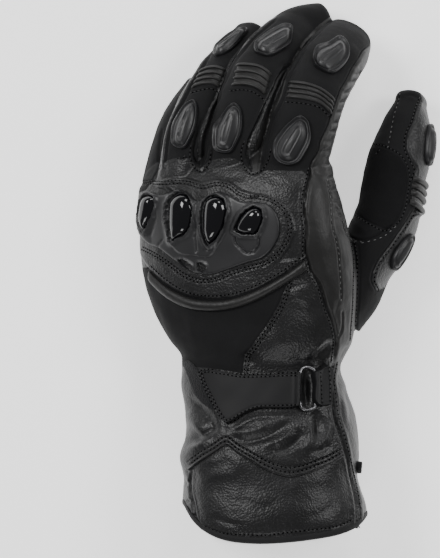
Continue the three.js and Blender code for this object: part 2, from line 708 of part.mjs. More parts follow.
// A padded roll, sewn along the lower edge of the knuckle panel
const rollPoints = ROLL_LINE.map((row) => backPlace(row.across * HAND_WIDTH, row.up * HAND_LENGTH));
const rollRings = rollPoints.map((place, i) => {
  const ahead = rollPoints[Math.min(i + 1, rollPoints.length - 1)].middle.clone();
  ahead.sub(rollPoints[Math.max(i - 1, 0)].middle).normalize();
  const side = ahead.clone().cross(place.back).normalize();
  const back = side.clone().cross(ahead);
  return ring({ middle: place.middle, side, back, halfWidth: ROLL_WIDTH / 2, halfThick: ROLL_HEIGHT },
    0, 8, 2);
});
const roll = add("knuckle_roll", loft(rollRings).subtract(aroundBody), leather);

// A form with an outline given in shares, lofted through levels of scale and height
function studded(place, turn, length, width, outline, levels, bend, bendAlong) {
  const ahead = new THREE.Vector3(Math.sin(radians(turn)), Math.cos(radians(turn)), 0);
  if (place.ahead) {
    ahead.copy(place.ahead).applyAxisAngle(place.back, -radians(turn));
  }
  ahead.addScaledVector(place.back, -ahead.dot(place.back)).normalize();
  const side = ahead.clone().cross(place.back);
  return loft(levels.map(({ scale, height }) => outline.map((row) => {
    const u = row.along * length * scale;
    const v = row.across * width * scale;
    return place.middle.clone()
      .addScaledVector(ahead, u)
      .addScaledVector(side, v)
      .addScaledVector(place.back, height - (v * v) / (2 * bend) - (u * u) / (2 * bendAlong));
  })));
}

// A whole outline from the half of it at the thumb side
const mirrored = (rows) => [
  ...rows.map((row) => ({ ...row, across: -row.across })),
  ...rows.filter((row) => row.across > 0).reverse(),
];

// The knuckle guard: a plate with a raised seat for each dome
const DOME_OUTLINE = mirrored([
  { along: 0.5, across: 0 },
  { along: 0.36, across: 0.38 },
  { along: 0.02, across: 0.49 },
  { along: -0.32, across: 0.26 },
  { along: -0.5, across: 0 },
]);
const SEAT_LEVELS = [
  { scale: 1.2, height: -14 },
  { scale: 1.22, height: 1.2 },
  { scale: 1.1, height: 3.6 },
];
const DOME_BASE = 4.1; // height of a dome's flat base above the leather
const DOME_HEIGHT = 8; // the height that the levels below are drawn for
const DOME_LEVELS = [
  { scale: 1.0, height: DOME_BASE },
  { scale: 0.97, height: 5.4 },
  { scale: 0.74, height: 8.2 },
  { scale: 0.34, height: 9.6 },
];
let guard = body(GAP + PLATE_THICKNESS).intersect(upperHalf(0)).intersect(prism(GUARD_OUTLINE));
const domes = DOMES.map((dome, i) => {
  const place = backPlace(dome.across * HAND_WIDTH, dome.up * HAND_LENGTH);
  place.back = turned(dome.tilt);
  const make = (levels) => studded(place, dome.turn, dome.length, dome.width, DOME_OUTLINE, levels, 40, 90);
  guard = guard.add(make(SEAT_LEVELS));
  return make(DOME_LEVELS.map((row) => ({ ...row, height: DOME_BASE + (row.height - DOME_BASE) * (dome.height / DOME_HEIGHT) })));
});
guard = guard.subtract(aroundBody).subtract(around.ring).subtract(around.little).subtract(around.middle);
add("knuckle_guard", guard, moulded);
domes.forEach((dome, i) => add("knuckle_dome_" + (i + 1), dome, gloss));

// Moulded pads on the fingers and the thumb
const PAD_OUTLINE = mirrored([
  { along: 0.5, across: 0 },
  { along: 0.36, across: 0.32 },
  { along: -0.06, across: 0.5 },
  { along: -0.42, across: 0.34 },
  { along: -0.5, across: 0 },
]);
const PAD_LEVELS = [
  { scale: 1.0, height: -5 },
  { scale: 1.0, height: PAD_HEIGHT - 0.9 },
  { scale: 0.85, height: PAD_HEIGHT },
  { scale: 0.66, height: PAD_HEIGHT - 0.9 },
  { scale: 0.24, height: PAD_HEIGHT + 0.6 },
];
for (const pad of PADS) {
  const place = stallFrame(pad.on, pad.along);
  const lean = pad.across / place.halfWidth;
  place.back.multiplyScalar(Math.sqrt(1 - lean * lean)).addScaledVector(place.side, lean);
  place.middle.addScaledVector(place.back, place.halfThick + pad.lift);
  const form = studded(place, pad.turn, pad.length, pad.width, PAD_OUTLINE, PAD_LEVELS, 17, 70);
  add(pad.name, form.subtract(around[pad.on]).subtract(aroundBody), moulded);
}

// Ribbed panels: a ribbed profile along the finger, swept round its back over a span in degrees
const RIB_CREST = 0.42; // width of a rib's flat top, as a share of the pitch
const SWEEP_STEPS = 5;
for (const panel of RIBS) {
  const place = stallFrame(panel.on, panel.along);
  const profile = [{ u: 0, high: 0 }];
  for (let i = 0; i < RIB_COUNT; i++) {
    for (const [share, high] of [[0, 0], [0.5 - RIB_CREST / 2, 1], [0.5 + RIB_CREST / 2, 1]]) {
      profile.push({ u: (i + share) * RIB_PITCH, high: RIB_STRIP + high * RIB_HEIGHT });
    }
  }
  profile.push({ u: RIB_COUNT * RIB_PITCH, high: RIB_STRIP }, { u: RIB_COUNT * RIB_PITCH, high: 0 });
  const rings = [];
  for (let k = 0; k <= SWEEP_STEPS; k++) {
    const angle = radians(90 + panel.span * (k / SWEEP_STEPS - 0.5));
    const [c, s] = [Math.cos(angle), Math.sin(angle)];
    const out = place.side.clone().multiplyScalar(c).addScaledVector(place.back, s);
    const across = Math.sign(c) * Math.abs(c) ** (2 / FINGER_SQUARENESS) * (place.halfWidth + GAP);
    const above = s ** (2 / FINGER_SQUARENESS) * (place.halfThick + GAP);
    rings.push(profile.map(({ u, high }) => place.middle.clone()
      .addScaledVector(place.side, across)
      .addScaledVector(place.back, above)
      .addScaledVector(out, high)
      .addScaledVector(place.ahead, u - (RIB_COUNT * RIB_PITCH) / 2)));
  }
  add(panel.name, loft(rings).subtract(around[panel.on]).subtract(aroundBody), leather);
}

// Parts of the cuff: the raised chevron, the bound edge and the end of the closure
const chevronBand = [...CHEVRON, ...reversed(moved(CHEVRON, -CHEVRON_WIDTH))];
add("cuff_chevron", within(skin(BAND_HEIGHT).intersect(upperHalf(GAP)), chevronBand, cuffBackRegion), leather);
const hem = skin(HEM_THICKNESS).subtract(cuffEnd)
  .intersect(prism([...moved(CUFF_EDGE, HEM_WIDTH), corner(FAR, -FAR), corner(-FAR, -FAR)]));
add("cuff_hem", hem, leather);
const closureRegion = [[-1, -1], [1, -1], [1, 1], [-1, 1]].map(([i, j]) => corner(
  (CLOSURE.across * CUFF_WIDTH + (i * CLOSURE.width) / 2) / HAND_WIDTH,
  (-CLOSURE.along * CUFF_LENGTH + (j * CLOSURE.length) / 2) / HAND_LENGTH));
add("closure_end", skin(CLOSURE.thickness).intersect(upperHalf(0)).intersect(prism(closureRegion)), webbing);

// The fuzzy patch below the strap's free end, and the suede patch inside the thumb
const patchSkin = skin(PATCH_THICKNESS).intersect(upperHalf(GAP));
add("hook_patch", patchSkin.intersect(prism(HOOK_PATCH_OUTLINE)), hooks);
const patchSpace = body(2 * GAP + PATCH_THICKNESS).intersect(prism(HOOK_PATCH_OUTLINE, GAP));
add("thumb_patch", stallSkin("thumb", 0.8).intersect(prism(THUMB_PATCH_OUTLINE)), suede);

// The profile of a strip that passes round a wire and comes back
const STRAP_STEPS = 3;
const FOLD_GAP = 0.55; // between the wire and the strip, wider because the wrist slopes
function foldedStrip(path, back, length) {
  const line = path.map((row) => new THREE.Vector2(row.along * length, row.high));
  const radius = WIRE / 2 + FOLD_GAP + STRAP_THICKNESS / 2;
  const steps = 5;
  for (let i = 0; i <= steps; i++) {
    const angle = (i / steps) * Math.PI;
    line.push(new THREE.Vector2(-Math.sin(angle) * radius, WIRE_HEIGHT + Math.cos(angle) * radius));
  }
  back.forEach((row) => line.push(new THREE.Vector2(row.along * length, row.high)));
  const sides = [1, -1].map((sign) => line.map((point, i) => {
    const before = line[Math.max(i - 1, 0)];
    const after = line[Math.min(i + 1, line.length - 1)];
    const along = after.clone().sub(before).normalize();
    return new THREE.Vector2(
      point.x - (sign * along.y * STRAP_THICKNESS) / 2,
      point.y + (sign * along.x * STRAP_THICKNESS) / 2,
    );
  }));
  const shape = new THREE.Shape([...sides[0], ...sides[1].reverse()]);
  return new THREE.ExtrudeGeometry(shape, { depth: 1, steps: STRAP_STEPS, bevelEnabled: false });
}

// Moves a form given as distance from the loop, height and share of the width onto the wrist
function drape(geometry, place) {
  const position = geometry.attributes.position;
  for (let i = 0; i < position.count; i++) {
    const [x, y, high] = place(position.getX(i), position.getY(i), position.getZ(i));
    position.setXYZ(i, x, y, backHeight(x, y) + high);
  }
  return solidOf(geometry);
}
const loopX = LOOP_AT.across * HAND_WIDTH;
const loopY = LOOP_AT.up * HAND_LENGTH;
const strapForm = drape(foldedStrip(STRAP_PATH, STRAP_RETURN, STRAP_LENGTH), (s, high, share) => {
  const v = share - 0.5;
  const t = Math.max(0, s / STRAP_LENGTH);
  const width = STRAP_WIDTH + (STRAP_END_WIDTH - STRAP_WIDTH) * t;
  return [loopX - LOOP_WIDTH / 2 - s - t * v * STRAP_SLANT, loopY + v * width - t * STRAP_SPREAD, high];
});
add("wrist_strap", strapForm.subtract(aroundBody).subtract(patchSpace), webbing);
const tabForm = drape(foldedStrip(TAB_PATH, TAB_RETURN, TAB_LENGTH), (s, high, share) =>
  [loopX + LOOP_WIDTH / 2 + s, loopY - (share - 0.5) * TAB_WIDTH, high]);
add("strap_tab", tabForm.subtract(aroundBody), webbing);

// The loop: a round wire bent into a rectangle
const bend = 2.4; // radius of the loop's corners
const loopCorners = [];
for (const [sx, sy, start] of [[1, 1, 0], [-1, 1, 90], [-1, -1, 180], [1, -1, 270]]) {
  for (const step of [0, 45, 90]) {
    const angle = radians(start + step);
    loopCorners.push(new THREE.Vector3(
      sx * (LOOP_WIDTH / 2 - bend) + bend * Math.cos(angle),
      sy * (LOOP_LENGTH / 2 - bend) + bend * Math.sin(angle), WIRE_HEIGHT));
  }
  if (sx === -sy) {
    for (const share of [sy / 6, -sy / 6]) {
      loopCorners.push(new THREE.Vector3((sx * LOOP_WIDTH) / 2, share * LOOP_LENGTH, WIRE_HEIGHT));
    }
  }
}
const wireSides = 6;
const loopRings = loopCorners.map((point, i) => {
  const before = loopCorners[(i + loopCorners.length - 1) % loopCorners.length];
  const after = loopCorners[(i + 1) % loopCorners.length];
  const ahead = after.clone().sub(before).normalize();
  const across = new THREE.Vector3(ahead.y, -ahead.x, 0);
  return Array.from({ length: wireSides }, (_, k) => {
    const angle = (k / wireSides) * 2 * Math.PI;
    return point.clone().addScaledVector(across, (Math.cos(angle) * WIRE) / 2)
      .add(new THREE.Vector3(0, 0, (Math.sin(angle) * WIRE) / 2));
  });
});
const loopFaces = [];
for (let r = 0; r < loopRings.length; r++) {
  for (let k = 0; k < wireSides; k++) {
    const next = (r + 1) % loopRings.length;
    const [a, b] = [r * wireSides + k, r * wireSides + ((k + 1) % wireSides)];
    const [c, d] = [next * wireSides + ((k + 1) % wireSides), next * wireSides + k];
    loopFaces.push(a, d, c, a, c, b);
  }
}
const loopGeometry = new THREE.BufferGeometry().setFromPoints(loopRings.flat());
loopGeometry.setIndex(loopFaces);
const loop = drape(loopGeometry, (x, y, high) => [loopX + x, loopY + y, high]);
add("strap_loop", loop, metal);

// The origin moves to the bottom centre of the glove
const bounds = new THREE.Box3().setFromObject(glove);
const centre = bounds.getCenter(new THREE.Vector3());
for (const mesh of glove.children) {
  mesh.geometry.translate(-centre.x, -centre.y, -bounds.min.z);
}

export default glove;
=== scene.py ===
# %% [markdown]
# # A leather motorcycle glove
# A left-hand glove with a long cuff lies on its palm, and the camera looks straight down on its
# back. The CAD frame gives the size and place of every piece. This scene gives them their real
# look: one smooth leather form, cut into its panels, with folds, seams, pads and stitches.

# %% Load the frame and note its size
import math

import bmesh
import bpy
import numpy as np
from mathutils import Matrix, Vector
from mathutils.bvhtree import BVHTree
from mathutils.geometry import delaunay_2d_cdt


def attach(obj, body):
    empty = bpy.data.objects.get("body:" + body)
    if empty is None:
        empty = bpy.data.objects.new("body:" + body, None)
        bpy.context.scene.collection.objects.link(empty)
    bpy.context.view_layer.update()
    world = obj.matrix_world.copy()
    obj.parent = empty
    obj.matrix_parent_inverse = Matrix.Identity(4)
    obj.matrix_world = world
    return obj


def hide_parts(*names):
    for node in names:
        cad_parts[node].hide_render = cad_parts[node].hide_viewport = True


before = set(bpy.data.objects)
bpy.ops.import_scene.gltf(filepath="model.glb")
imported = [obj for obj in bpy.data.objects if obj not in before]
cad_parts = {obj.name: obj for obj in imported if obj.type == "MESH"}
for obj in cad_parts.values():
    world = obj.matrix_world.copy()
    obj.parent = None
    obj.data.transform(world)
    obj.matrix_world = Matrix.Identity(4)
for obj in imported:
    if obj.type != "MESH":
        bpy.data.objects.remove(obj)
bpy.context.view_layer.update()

# %% [markdown]
# ## Camera and plan
# The real camera hung straight above the glove, so the scene's camera does too. Most of this
# script places things by their plan: millimetres right of and above the middle of the picture,
# measured at the height of 30 mm where the glove is widest. `place` turns such a plan point and
# a height into a point in space, with the camera's slight perspective.

# %% Camera
CAMERA = np.array([-33.19, -4.83, 1550.0])  # mm
PLAN_HEIGHT = 30.0
PICTURE_HEIGHT = 279.0  # mm of plan from the top to the bottom of the picture

camera_data = bpy.data.cameras.new("camera")
camera_data.sensor_fit = "VERTICAL"
camera_data.sensor_height = 36.0
camera_data.lens = 36.0 * (CAMERA[2] - PLAN_HEIGHT) / PICTURE_HEIGHT
camera_data.clip_end = 10.0
camera = bpy.data.objects.new("camera", camera_data)
camera.location = CAMERA / 1000
bpy.context.scene.collection.objects.link(camera)
bpy.context.scene.camera = camera


def place(right, up, height):
    nearer = (CAMERA[2] - height) / (CAMERA[2] - PLAN_HEIGHT)
    return np.array([CAMERA[0] + right * nearer, CAMERA[1] + up * nearer, height])


def plan_of(points):
    """The plan of points in space, in millimetres: the turning back of place."""
    nearer = (CAMERA[2] - PLAN_HEIGHT) / (CAMERA[2] - points[:, 2])
    return (points[:, :2] - CAMERA[:2]) * nearer[:, None]


print("lens", round(camera_data.lens, 1), "mm")

# %% [markdown]
# ## Floor and light
# A black glove shows its form only by what it reflects. Large soft lights give the wide pale
# sheen on the leather and the narrow streaks on the gloss domes. The floor is plain and pale.

# %% Floor
def new_object(name, data):
    made = bpy.data.objects.new(name, data)
    bpy.context.scene.collection.objects.link(made)
    return made


def surface_material(name, colour, roughness):
    material = bpy.data.materials.new(name)
    material.use_nodes = True
    shader = material.node_tree.nodes["Principled BSDF"]
    shader.inputs["Base Color"].default_value = (*colour, 1.0)
    shader.inputs["Roughness"].default_value = roughness
    return material, shader


FLOOR_SIZE = 3.0  # m
floor_mesh = bpy.data.meshes.new("floor")
half = FLOOR_SIZE / 2
floor_mesh.from_pydata(
    [(-half, -half, 0), (half, -half, 0), (half, half, 0), (-half, half, 0)], [], [(0, 1, 2, 3)]
)
floor_paint, floor_shader = surface_material("pale_floor", (0.93, 0.93, 0.93), 0.9)
floor_shader.inputs["Specular IOR Level"].default_value = 0.1
floor_shader.inputs["Emission Color"].default_value = (1, 1, 1, 1)
floor_shader.inputs["Emission Strength"].default_value = 0.9
floor_mesh.materials.append(floor_paint)
floor = new_object("floor", floor_mesh)
floor.location.z = -0.0004

# %% Lights
LIGHTS = [  # name, watts, size m, place m, aims at the glove's middle
    ("left_high", 16.0, 0.55, (-0.85, 0.55, 1.15)),
    ("right_high", 9.0, 0.5, (0.95, 0.35, 1.05)),
    ("finger_side", 7.0, 0.5, (0.2, 1.25, 0.95)),
    ("cuff_side", 6.0, 0.5, (-0.2, -1.2, 0.95)),
]
for name, watts, size, spot in LIGHTS:
    lamp = bpy.data.lights.new(name, "AREA")
    lamp.energy = watts
    lamp.size = size
    light = new_object(name, lamp)
    light.location = spot
    light.rotation_euler = (Vector((0, 0, 0.03)) - Vector(spot)).to_track_quat("-Z", "Y").to_euler()

world = bpy.data.worlds.new("studio")
world.use_nodes = True
world.node_tree.nodes["Background"].inputs["Color"].default_value = (1, 1, 1, 1)
world.node_tree.nodes["Background"].inputs["Strength"].default_value = 0.22
bpy.context.scene.world = world
print(len(LIGHTS), "soft lights")

# %% [markdown]
# ## The form of the glove
# The hand and cuff are one rounded tube that rolls to its outer side, and each finger is a bent
# tube of its own. Rows of a table give the tubes' sections, a smooth curve runs between the rows,
# and each section is a rounded oval. Modelling by sections keeps the real widths exact.

# %% Sections of the hand and cuff
SQUARE = 2.3  # 2 is an oval, and more is squarer
BODY = [  # up, left, right, thick (mm in plan), roll (degrees), lift (mm)
    (-138.5, -18.75, 73, 66, 5, -1.6),
    (-113.5, -18.75, 73, 66, 5, -1.6),
    (-100.5, -18, 69, 64, 6, -1.4),
    (-88.5, -20.25, 69.5, 63, 7, -0.8),
    (-80.5, -17.5, 69, 61.5, 8, -0.4),
    (-63.5, -17.75, 66.5, 57, 11, 0.4),
    (-53.5, -19.5, 62.75, 54, 12.5, 0.8),
    (-43.5, -19, 60, 52, 14, 1),
    (-37.5, -19.75, 63, 53, 15, 0.6),
    (-31.5, -24.75, 65.5, 53.5, 17, 0.2),
    (-20.5, -31, 67, 54, 19.5, -0.6),
    (-6.5, -36.5, 67.5, 54, 22, -0.9),
    (8.5, -39.5, 66.5, 53, 24.5, -1),
    (23.5, -40.25, 63.5, 52.5, 26.5, -0.8),
    (35.5, -40.75, 60.5, 51.5, 27.5, -0.4),
    (49.5, -39, 56.25, 46, 28, 2),
    (58, -34, 54, 38, 28, 6),
    (63, -27, 49, 28, 28, 12),
]

# %% Sections of the fingers and the thumb
FINGERS = {  # right, up, width, height, thick (mm), turn (degrees)
    "index": [
        (31.5, 45.5, 29, 49, 27, 8),
        (35.5, 56.5, 33, 52.5, 28, 8),
        (39.5, 67, 33, 54, 28.5, 9),
        (43.25, 82, 33.5, 52, 28, 9),
        (49.75, 98.5, 32, 43, 27, 7),
        (56.25, 109, 31, 33, 27, 6),
        (59.75, 114, 29.5, 25, 26, 5),
        (61.75, 117.25, 27.5, 18, 24, 5),
    ],
    "middle": [
        (1.5, 43.5, 25, 39, 25, 24),
        (5.5, 55.5, 28, 42.5, 26, 25),
        (8.75, 66.5, 30, 44.7, 26.5, 26),
        (12.75, 82.5, 30, 44.5, 26.3, 27),
        (18.5, 98.5, 30, 39.5, 26, 26),
        (24.75, 109.5, 28.5, 32, 25.5, 24),
        (33.5, 118.5, 27.5, 21.5, 25, 20),
        (42, 123, 28, 13.5, 24, 15),
        (49, 124, 28, 11, 23, 12),
    ],
    "ring": [
        (-21, 44.5, 24, 33.5, 21, 38),
        (-18.25, 55.5, 24.5, 34.5, 21, 40),
        (-16.25, 66.5, 24.5, 35, 21, 42),
        (-11.75, 81, 24.5, 33, 21, 46),
        (-4.75, 94.5, 24.5, 28, 21, 50),
        (2, 103.5, 24.5, 22.5, 21, 52),
        (10.5, 113, 24.5, 14.8, 21.5, 52),
        (16, 119, 22.5, 10.3, 20.5, 50),
    ],
    "little": [
        (-29.5, 46.5, 22, 17, 19, 66),
        (-27.25, 55.5, 22, 15.5, 19, 68),
        (-24.5, 66, 21, 13.5, 19, 70),
        (-20.25, 77.5, 20, 10.5, 19, 72),
        (-15.5, 86, 19, 9.6, 18.5, 74),
        (-10.5, 93, 16.5, 9, 18, 76),
    ],
    "thumb": [
        (58.5, -19.5, 25, 29.5, 31, -72),
        (64.5, -9.5, 27, 29, 33, -72),
        (71.75, 7, 28, 26.5, 34, -72),
        (79.25, 20.5, 30, 23.5, 34, -72),
        (84.25, 33, 31, 21, 33, -72),
        (86.5, 46.5, 30.5, 18, 32, -72),
        (89.5, 59.5, 30, 16.2, 31, -72),
        (92.25, 69.5, 27.5, 14.6, 29.5, -72),
        (94, 78, 22.5, 13.2, 26, -72),
        (95.5, 87.25, 15, 11, 20, -72),
    ],
}

ROUND_END = 6.0  # mm from the last section to the tip


# %% Helpers for smooth rows and rounded sections
def smooth_rows(knots, rows, at):
    """Rows at new places along a table, on smooth curves through the given rows."""
    knots, rows, at = (np.asarray(v, float) for v in (knots, rows, at))
    slope = np.gradient(rows, knots, axis=0)
    i = np.clip(np.searchsorted(knots, at) - 1, 0, len(knots) - 2)
    step = (knots[i + 1] - knots[i])[:, None]
    t = (at - knots[i])[:, None] / step
    a, b = rows[i], rows[i + 1]
    p, q = slope[i] * step, slope[i + 1] * step
    first = a * (1 + 2 * t) * (1 - t) ** 2 + p * t * (1 - t) ** 2
    return first + b * t * t * (3 - 2 * t) + q * t * t * (t - 1)


def lengths_along(points):
    """How far along a line each of its points lies."""
    return np.concatenate([[0], np.cumsum(np.linalg.norm(np.diff(points, axis=0), axis=1))])


def rows_at(at, knots, rows):
    """Rows at new places along a table, on straight lines between the given rows."""
    return np.column_stack([np.interp(at, knots, rows[:, k]) for k in range(rows.shape[1])])


def oval(middle, side, back, half_width, half_thick, count, square):
    """A rounded section. It is pressed flat where it would sink below the floor."""
    angle = np.arange(count) / count * 2 * math.pi
    c, s = np.cos(angle), np.sin(angle)
    across = np.sign(c) * np.abs(c) ** (2 / square) * half_width
    above = np.sign(s) * np.abs(s) ** (2 / square) * half_thick
    points = middle - across[:, None] * side + above[:, None] * back
    points[:, 2] = np.maximum(points[:, 2], 0.0)
    return points


def turned(degrees):
    return np.array([-math.sin(math.radians(degrees)), 0.0, math.cos(math.radians(degrees))])


def tube_mesh(name, rings):
    """A closed mesh through rings with the same number of points."""
    count = len(rings[0])
    points = list(np.concatenate(rings))
    faces = []
    for r in range(len(rings) - 1):
        for i in range(count):
            j = (i + 1) % count
            faces.append((r * count + i, r * count + j, (r + 1) * count + j, (r + 1) * count + i))
    faces.append(tuple(range(count))[::-1])
    faces.append(tuple((len(rings) - 1) * count + i for i in range(count)))
    mesh = bpy.data.meshes.new(name)
    mesh.from_pydata([tuple(p) for p in points], [], faces)
    return mesh


finger_rows = sum(len(rows) for rows in FINGERS.values())
print("sections:", len(BODY), "of the hand and cuff,", finger_rows, "of the fingers")


# %% The hand and cuff
def body_section(up, left, right, thick, roll, lift):
    """Middle, side, back and half sizes of a section that spans left to right in plan."""
    c, s = math.cos(math.radians(roll)), math.sin(math.radians(roll))
    power = SQUARE / (SQUARE - 1)
    half_thick = thick / 2
    half_width = (((right - left) / 2) ** power - (half_thick * s) ** power) ** (1 / power) / c
    rise = ((half_width * s) ** power + (half_thick * c) ** power) ** (1 / power)
    middle = np.array([CAMERA[0] + (left + right) / 2, CAMERA[1] + up, lift + rise])
    return middle, np.array([c, 0.0, s]), turned(roll), half_width, half_thick


BODY_ROWS = np.array(BODY)
body_ups = np.linspace(BODY_ROWS[0, 0], BODY_ROWS[-1, 0], 150)
body_sections = [body_section(*row) for row in smooth_rows(BODY_ROWS[:, 0], BODY_ROWS, body_ups)]
body_rings = [oval(*section, 96, SQUARE) for section in body_sections]
forms = {"body": tube_mesh("body_form", body_rings)}
print("hand and cuff:", len(body_rings), "sections")


# %% The fingers and the thumb
def stall_sections(name):
    """Sections square to the finger's path, close together."""
    rows = np.array(FINGERS[name], float)
    middles = np.array([place(*row[:2], row[3]) for row in rows])
    along = lengths_along(middles)
    at = np.linspace(0, along[-1], int(along[-1] / 1.5) + 1)
    fine = smooth_rows(along, np.column_stack([middles, rows[:, 2], rows[:, 4], rows[:, 5]]), at)
    ahead = np.gradient(fine[:, :3], at, axis=0)
    found = []
    for row, forward, reached in zip(fine, ahead, at):
        forward = forward / np.linalg.norm(forward)
        back = turned(row[5])
        back = back - forward * back.dot(forward)
        back /= np.linalg.norm(back)
        wide = row[3] / 2 * (CAMERA[2] - row[2]) / (CAMERA[2] - PLAN_HEIGHT)
        deep = row[4] / 2
        if name == "thumb":
            wide, deep = deep, wide
        found.append(dict(middle=row[:3], side=np.cross(forward, back), back=back, half_width=wide,
                          half_thick=deep, ahead=forward, along=reached))
    return found


FINGER_SQUARE = 2.35
stalls = {name: stall_sections(name) for name in FINGERS}
for name, sections in stalls.items():
    rings = [oval(s["middle"], s["side"], s["back"], s["half_width"], s["half_thick"], 64, FINGER_SQUARE)
             for s in sections]
    last = sections[-1]
    for share in (0.25, 0.45, 0.63, 0.78, 0.89, 0.96, 0.99):
        scale = (1 - share ** 3.2) ** (1 / 2.6)
        middle = last["middle"] + last["ahead"] * ROUND_END * share
        rings.append(oval(middle, last["side"], last["back"], last["half_width"] * scale,
                          last["half_thick"] * scale, 64, FINGER_SQUARE))
    forms[name] = tube_mesh(name + "_form", rings)
print("stalls:", {name: round(sections[-1]["along"]) for name, sections in stalls.items()}, "mm long")

# %% [markdown]
# ## Fingers that press on each other
# The fingers lie side by side and each gives way to the one above it. Every point of a finger
# that would be inside its neighbour moves out to the neighbour's surface, so that the fingers
# meet in a crease when the whole form is made one.

# %% Press each finger against the one above it
APART = 0.2  # mm between two fingers


def mesh_points(mesh):
    points = np.empty(len(mesh.vertices) * 3)
    mesh.vertices.foreach_get("co", points)
    return points.reshape(-1, 3)


def tree_of(points, mesh):
    return BVHTree.FromPolygons([tuple(p) for p in points], [tuple(f.vertices) for f in mesh.polygons])


for upper, lower in (("index", "middle"), ("middle", "ring"), ("ring", "little")):
    above = tree_of(mesh_points(forms[upper]), forms[upper])
    points = mesh_points(forms[lower])
    for i, point in enumerate(points):
        spot, normal, _, _ = above.find_nearest(Vector(point))
        out = (Vector(point) - spot).dot(normal)
        if out < APART:
            points[i] = point + np.array(normal) * (APART - out)
    points[:, 2] = np.maximum(points[:, 2], 0.0)
    forms[lower].vertices.foreach_set("co", points.ravel())
print("fingers pressed against each other")

# %% [markdown]
# ## One skin over everything
# Joined and remeshed on a fine grid, the tubes become one closed skin with natural creases where
# they meet. A few rounds of smoothing take the steps of the grid away and leave the round form
# that leather has. Its points are then moved by code, which is like sculpting with exact tools.

# %% Join and remesh
CELL = 0.62  # mm, the grid of the skin


def plain_mesh(source, name):
    """The evaluated object as a mesh without modifiers, and the source object removed."""
    shown = source.evaluated_get(bpy.context.evaluated_depsgraph_get())
    made = bpy.data.meshes.new_from_object(shown)
    made.name = name
    bpy.data.objects.remove(source)
    return made


def remeshed(meshes, cell, name):
    """One closed mesh round several closed ones, in millimetres."""
    joined = bmesh.new()
    for mesh in meshes:
        joined.from_mesh(mesh)
    bmesh.ops.recalc_face_normals(joined, faces=joined.faces)
    together = bpy.data.meshes.new(name)
    joined.to_mesh(together)
    joined.free()
    holder = new_object(name, together)
    grid = holder.modifiers.new("grid", "REMESH")
    grid.mode = "VOXEL"
    grid.voxel_size = cell
    return plain_mesh(holder, name)


skin_mesh = remeshed(list(forms.values()), CELL, "glove_skin")
skin_points = mesh_points(skin_mesh)
skin_faces = np.empty(len(skin_mesh.polygons) * 4, int)
skin_mesh.polygons.foreach_get("vertices", skin_faces)
skin_faces = skin_faces.reshape(-1, 4)
print("skin:", len(skin_points), "points,", len(skin_faces), "faces")

# %% Smooth the skin
links = np.concatenate([skin_faces[:, [i, (i + 1) % 4]] for i in range(4)])
link_count = np.bincount(links[:, 0], minlength=len(skin_points))


def relaxed(points, rounds, strength=0.5):
    """Each point moves towards the middle of its neighbours, then back a little less."""
    for step in range(rounds):
        for share in (strength, -strength * 1.03):
            middle = np.column_stack([
                np.bincount(links[:, 0], points[links[:, 1], k], len(points)) for k in range(3)
            ]) / link_count[:, None]
            points = points + (middle - points) * share
    return points


def point_normals(points):
    across = points[skin_faces[:, 2]] - points[skin_faces[:, 0]]
    along = points[skin_faces[:, 3]] - points[skin_faces[:, 1]]
    face = np.cross(across, along)
    total = np.zeros_like(points)
    for corner in range(4):
        for k in range(3):
            total[:, k] += np.bincount(skin_faces[:, corner], face[:, k], len(points))
    return total / np.maximum(np.linalg.norm(total, axis=1), 1e-9)[:, None]


skin_points = relaxed(skin_points, 14)
skin_points[:, 2] = np.maximum(skin_points[:, 2], 0.05)
soft_normals = point_normals(relaxed(skin_points, 20))
print("smoothed; highest point", round(float(skin_points[:, 2].max()), 1), "mm")

# %% [markdown]
# ## Which part of the skin is which
# Every point of the skin belongs to a finger, the thumb, or the hand and cuff. Distance from the
# hand's own tube decides it: what stands clear of that tube is finger or thumb. On the hand, the
# seams at its two sides part the back from the palm.

# %% Sort the skin's points
body_ys = np.array([section[0][1] for section in body_sections])
body_table = np.array([np.concatenate([s[0], s[1], s[2], [s[3], s[4]]]) for s in body_sections])


def body_frame(points):
    """Across and above the hand's middle, in millimetres, and how far outside its tube."""
    at = np.clip(points[:, 1], body_ys[0], body_ys[-1])
    row = rows_at(at, body_ys, body_table)
    offset = points - row[:, 0:3]
    offset[:, 1] = 0
    across = np.sum(offset * row[:, 3:6], axis=1)
    above = np.sum(offset * row[:, 6:9], axis=1)
    level = (np.abs(across / row[:, 9]) ** SQUARE + np.abs(above / row[:, 10]) ** SQUARE) ** (1 / SQUARE)
    outside = (level - 1) * np.hypot(across, above) / np.maximum(level, 1e-6)
    past = np.maximum(points[:, 1] - body_ys[-1], 0)  # beyond the last section
    outside = np.where(past > 0, np.hypot(np.maximum(outside, 0), past), outside)
    return across, above, outside


def stall_table(name):
    return np.array([np.concatenate([s["middle"], s["side"], s["back"], s["ahead"],
                                     [s["half_width"], s["half_thick"],
                                      s["along"]]]) for s in stalls[name]])


stall_tables = {name: stall_table(name) for name in stalls}


def stall_frame(name, points):
    """Along, across and above a finger's middle, and how far outside its tube, in millimetres."""
    table = stall_tables[name]
    nearest = np.empty(len(points), int)
    for start in range(0, len(points), 20000):
        part = points[start:start + 20000]
        gap = ((part[:, None, :] - table[None, :, 0:3]) ** 2).sum(axis=2)
        nearest[start:start + 20000] = gap.argmin(axis=1)
    row = table[nearest]
    offset = points - row[:, 0:3]
    ahead = np.sum(offset * row[:, 9:12], axis=1)
    across = np.sum(offset * row[:, 3:6], axis=1)
    above = np.sum(offset * row[:, 6:9], axis=1)
    level = (np.abs(across / row[:, 12]) ** FINGER_SQUARE + np.abs(above / row[:, 13]) ** FINGER_SQUARE)
    level = level ** (1 / FINGER_SQUARE)
    outside = (level - 1) * np.hypot(across, above) / np.maximum(level, 1e-6)
    return row[:, 14] + ahead, across, above, outside


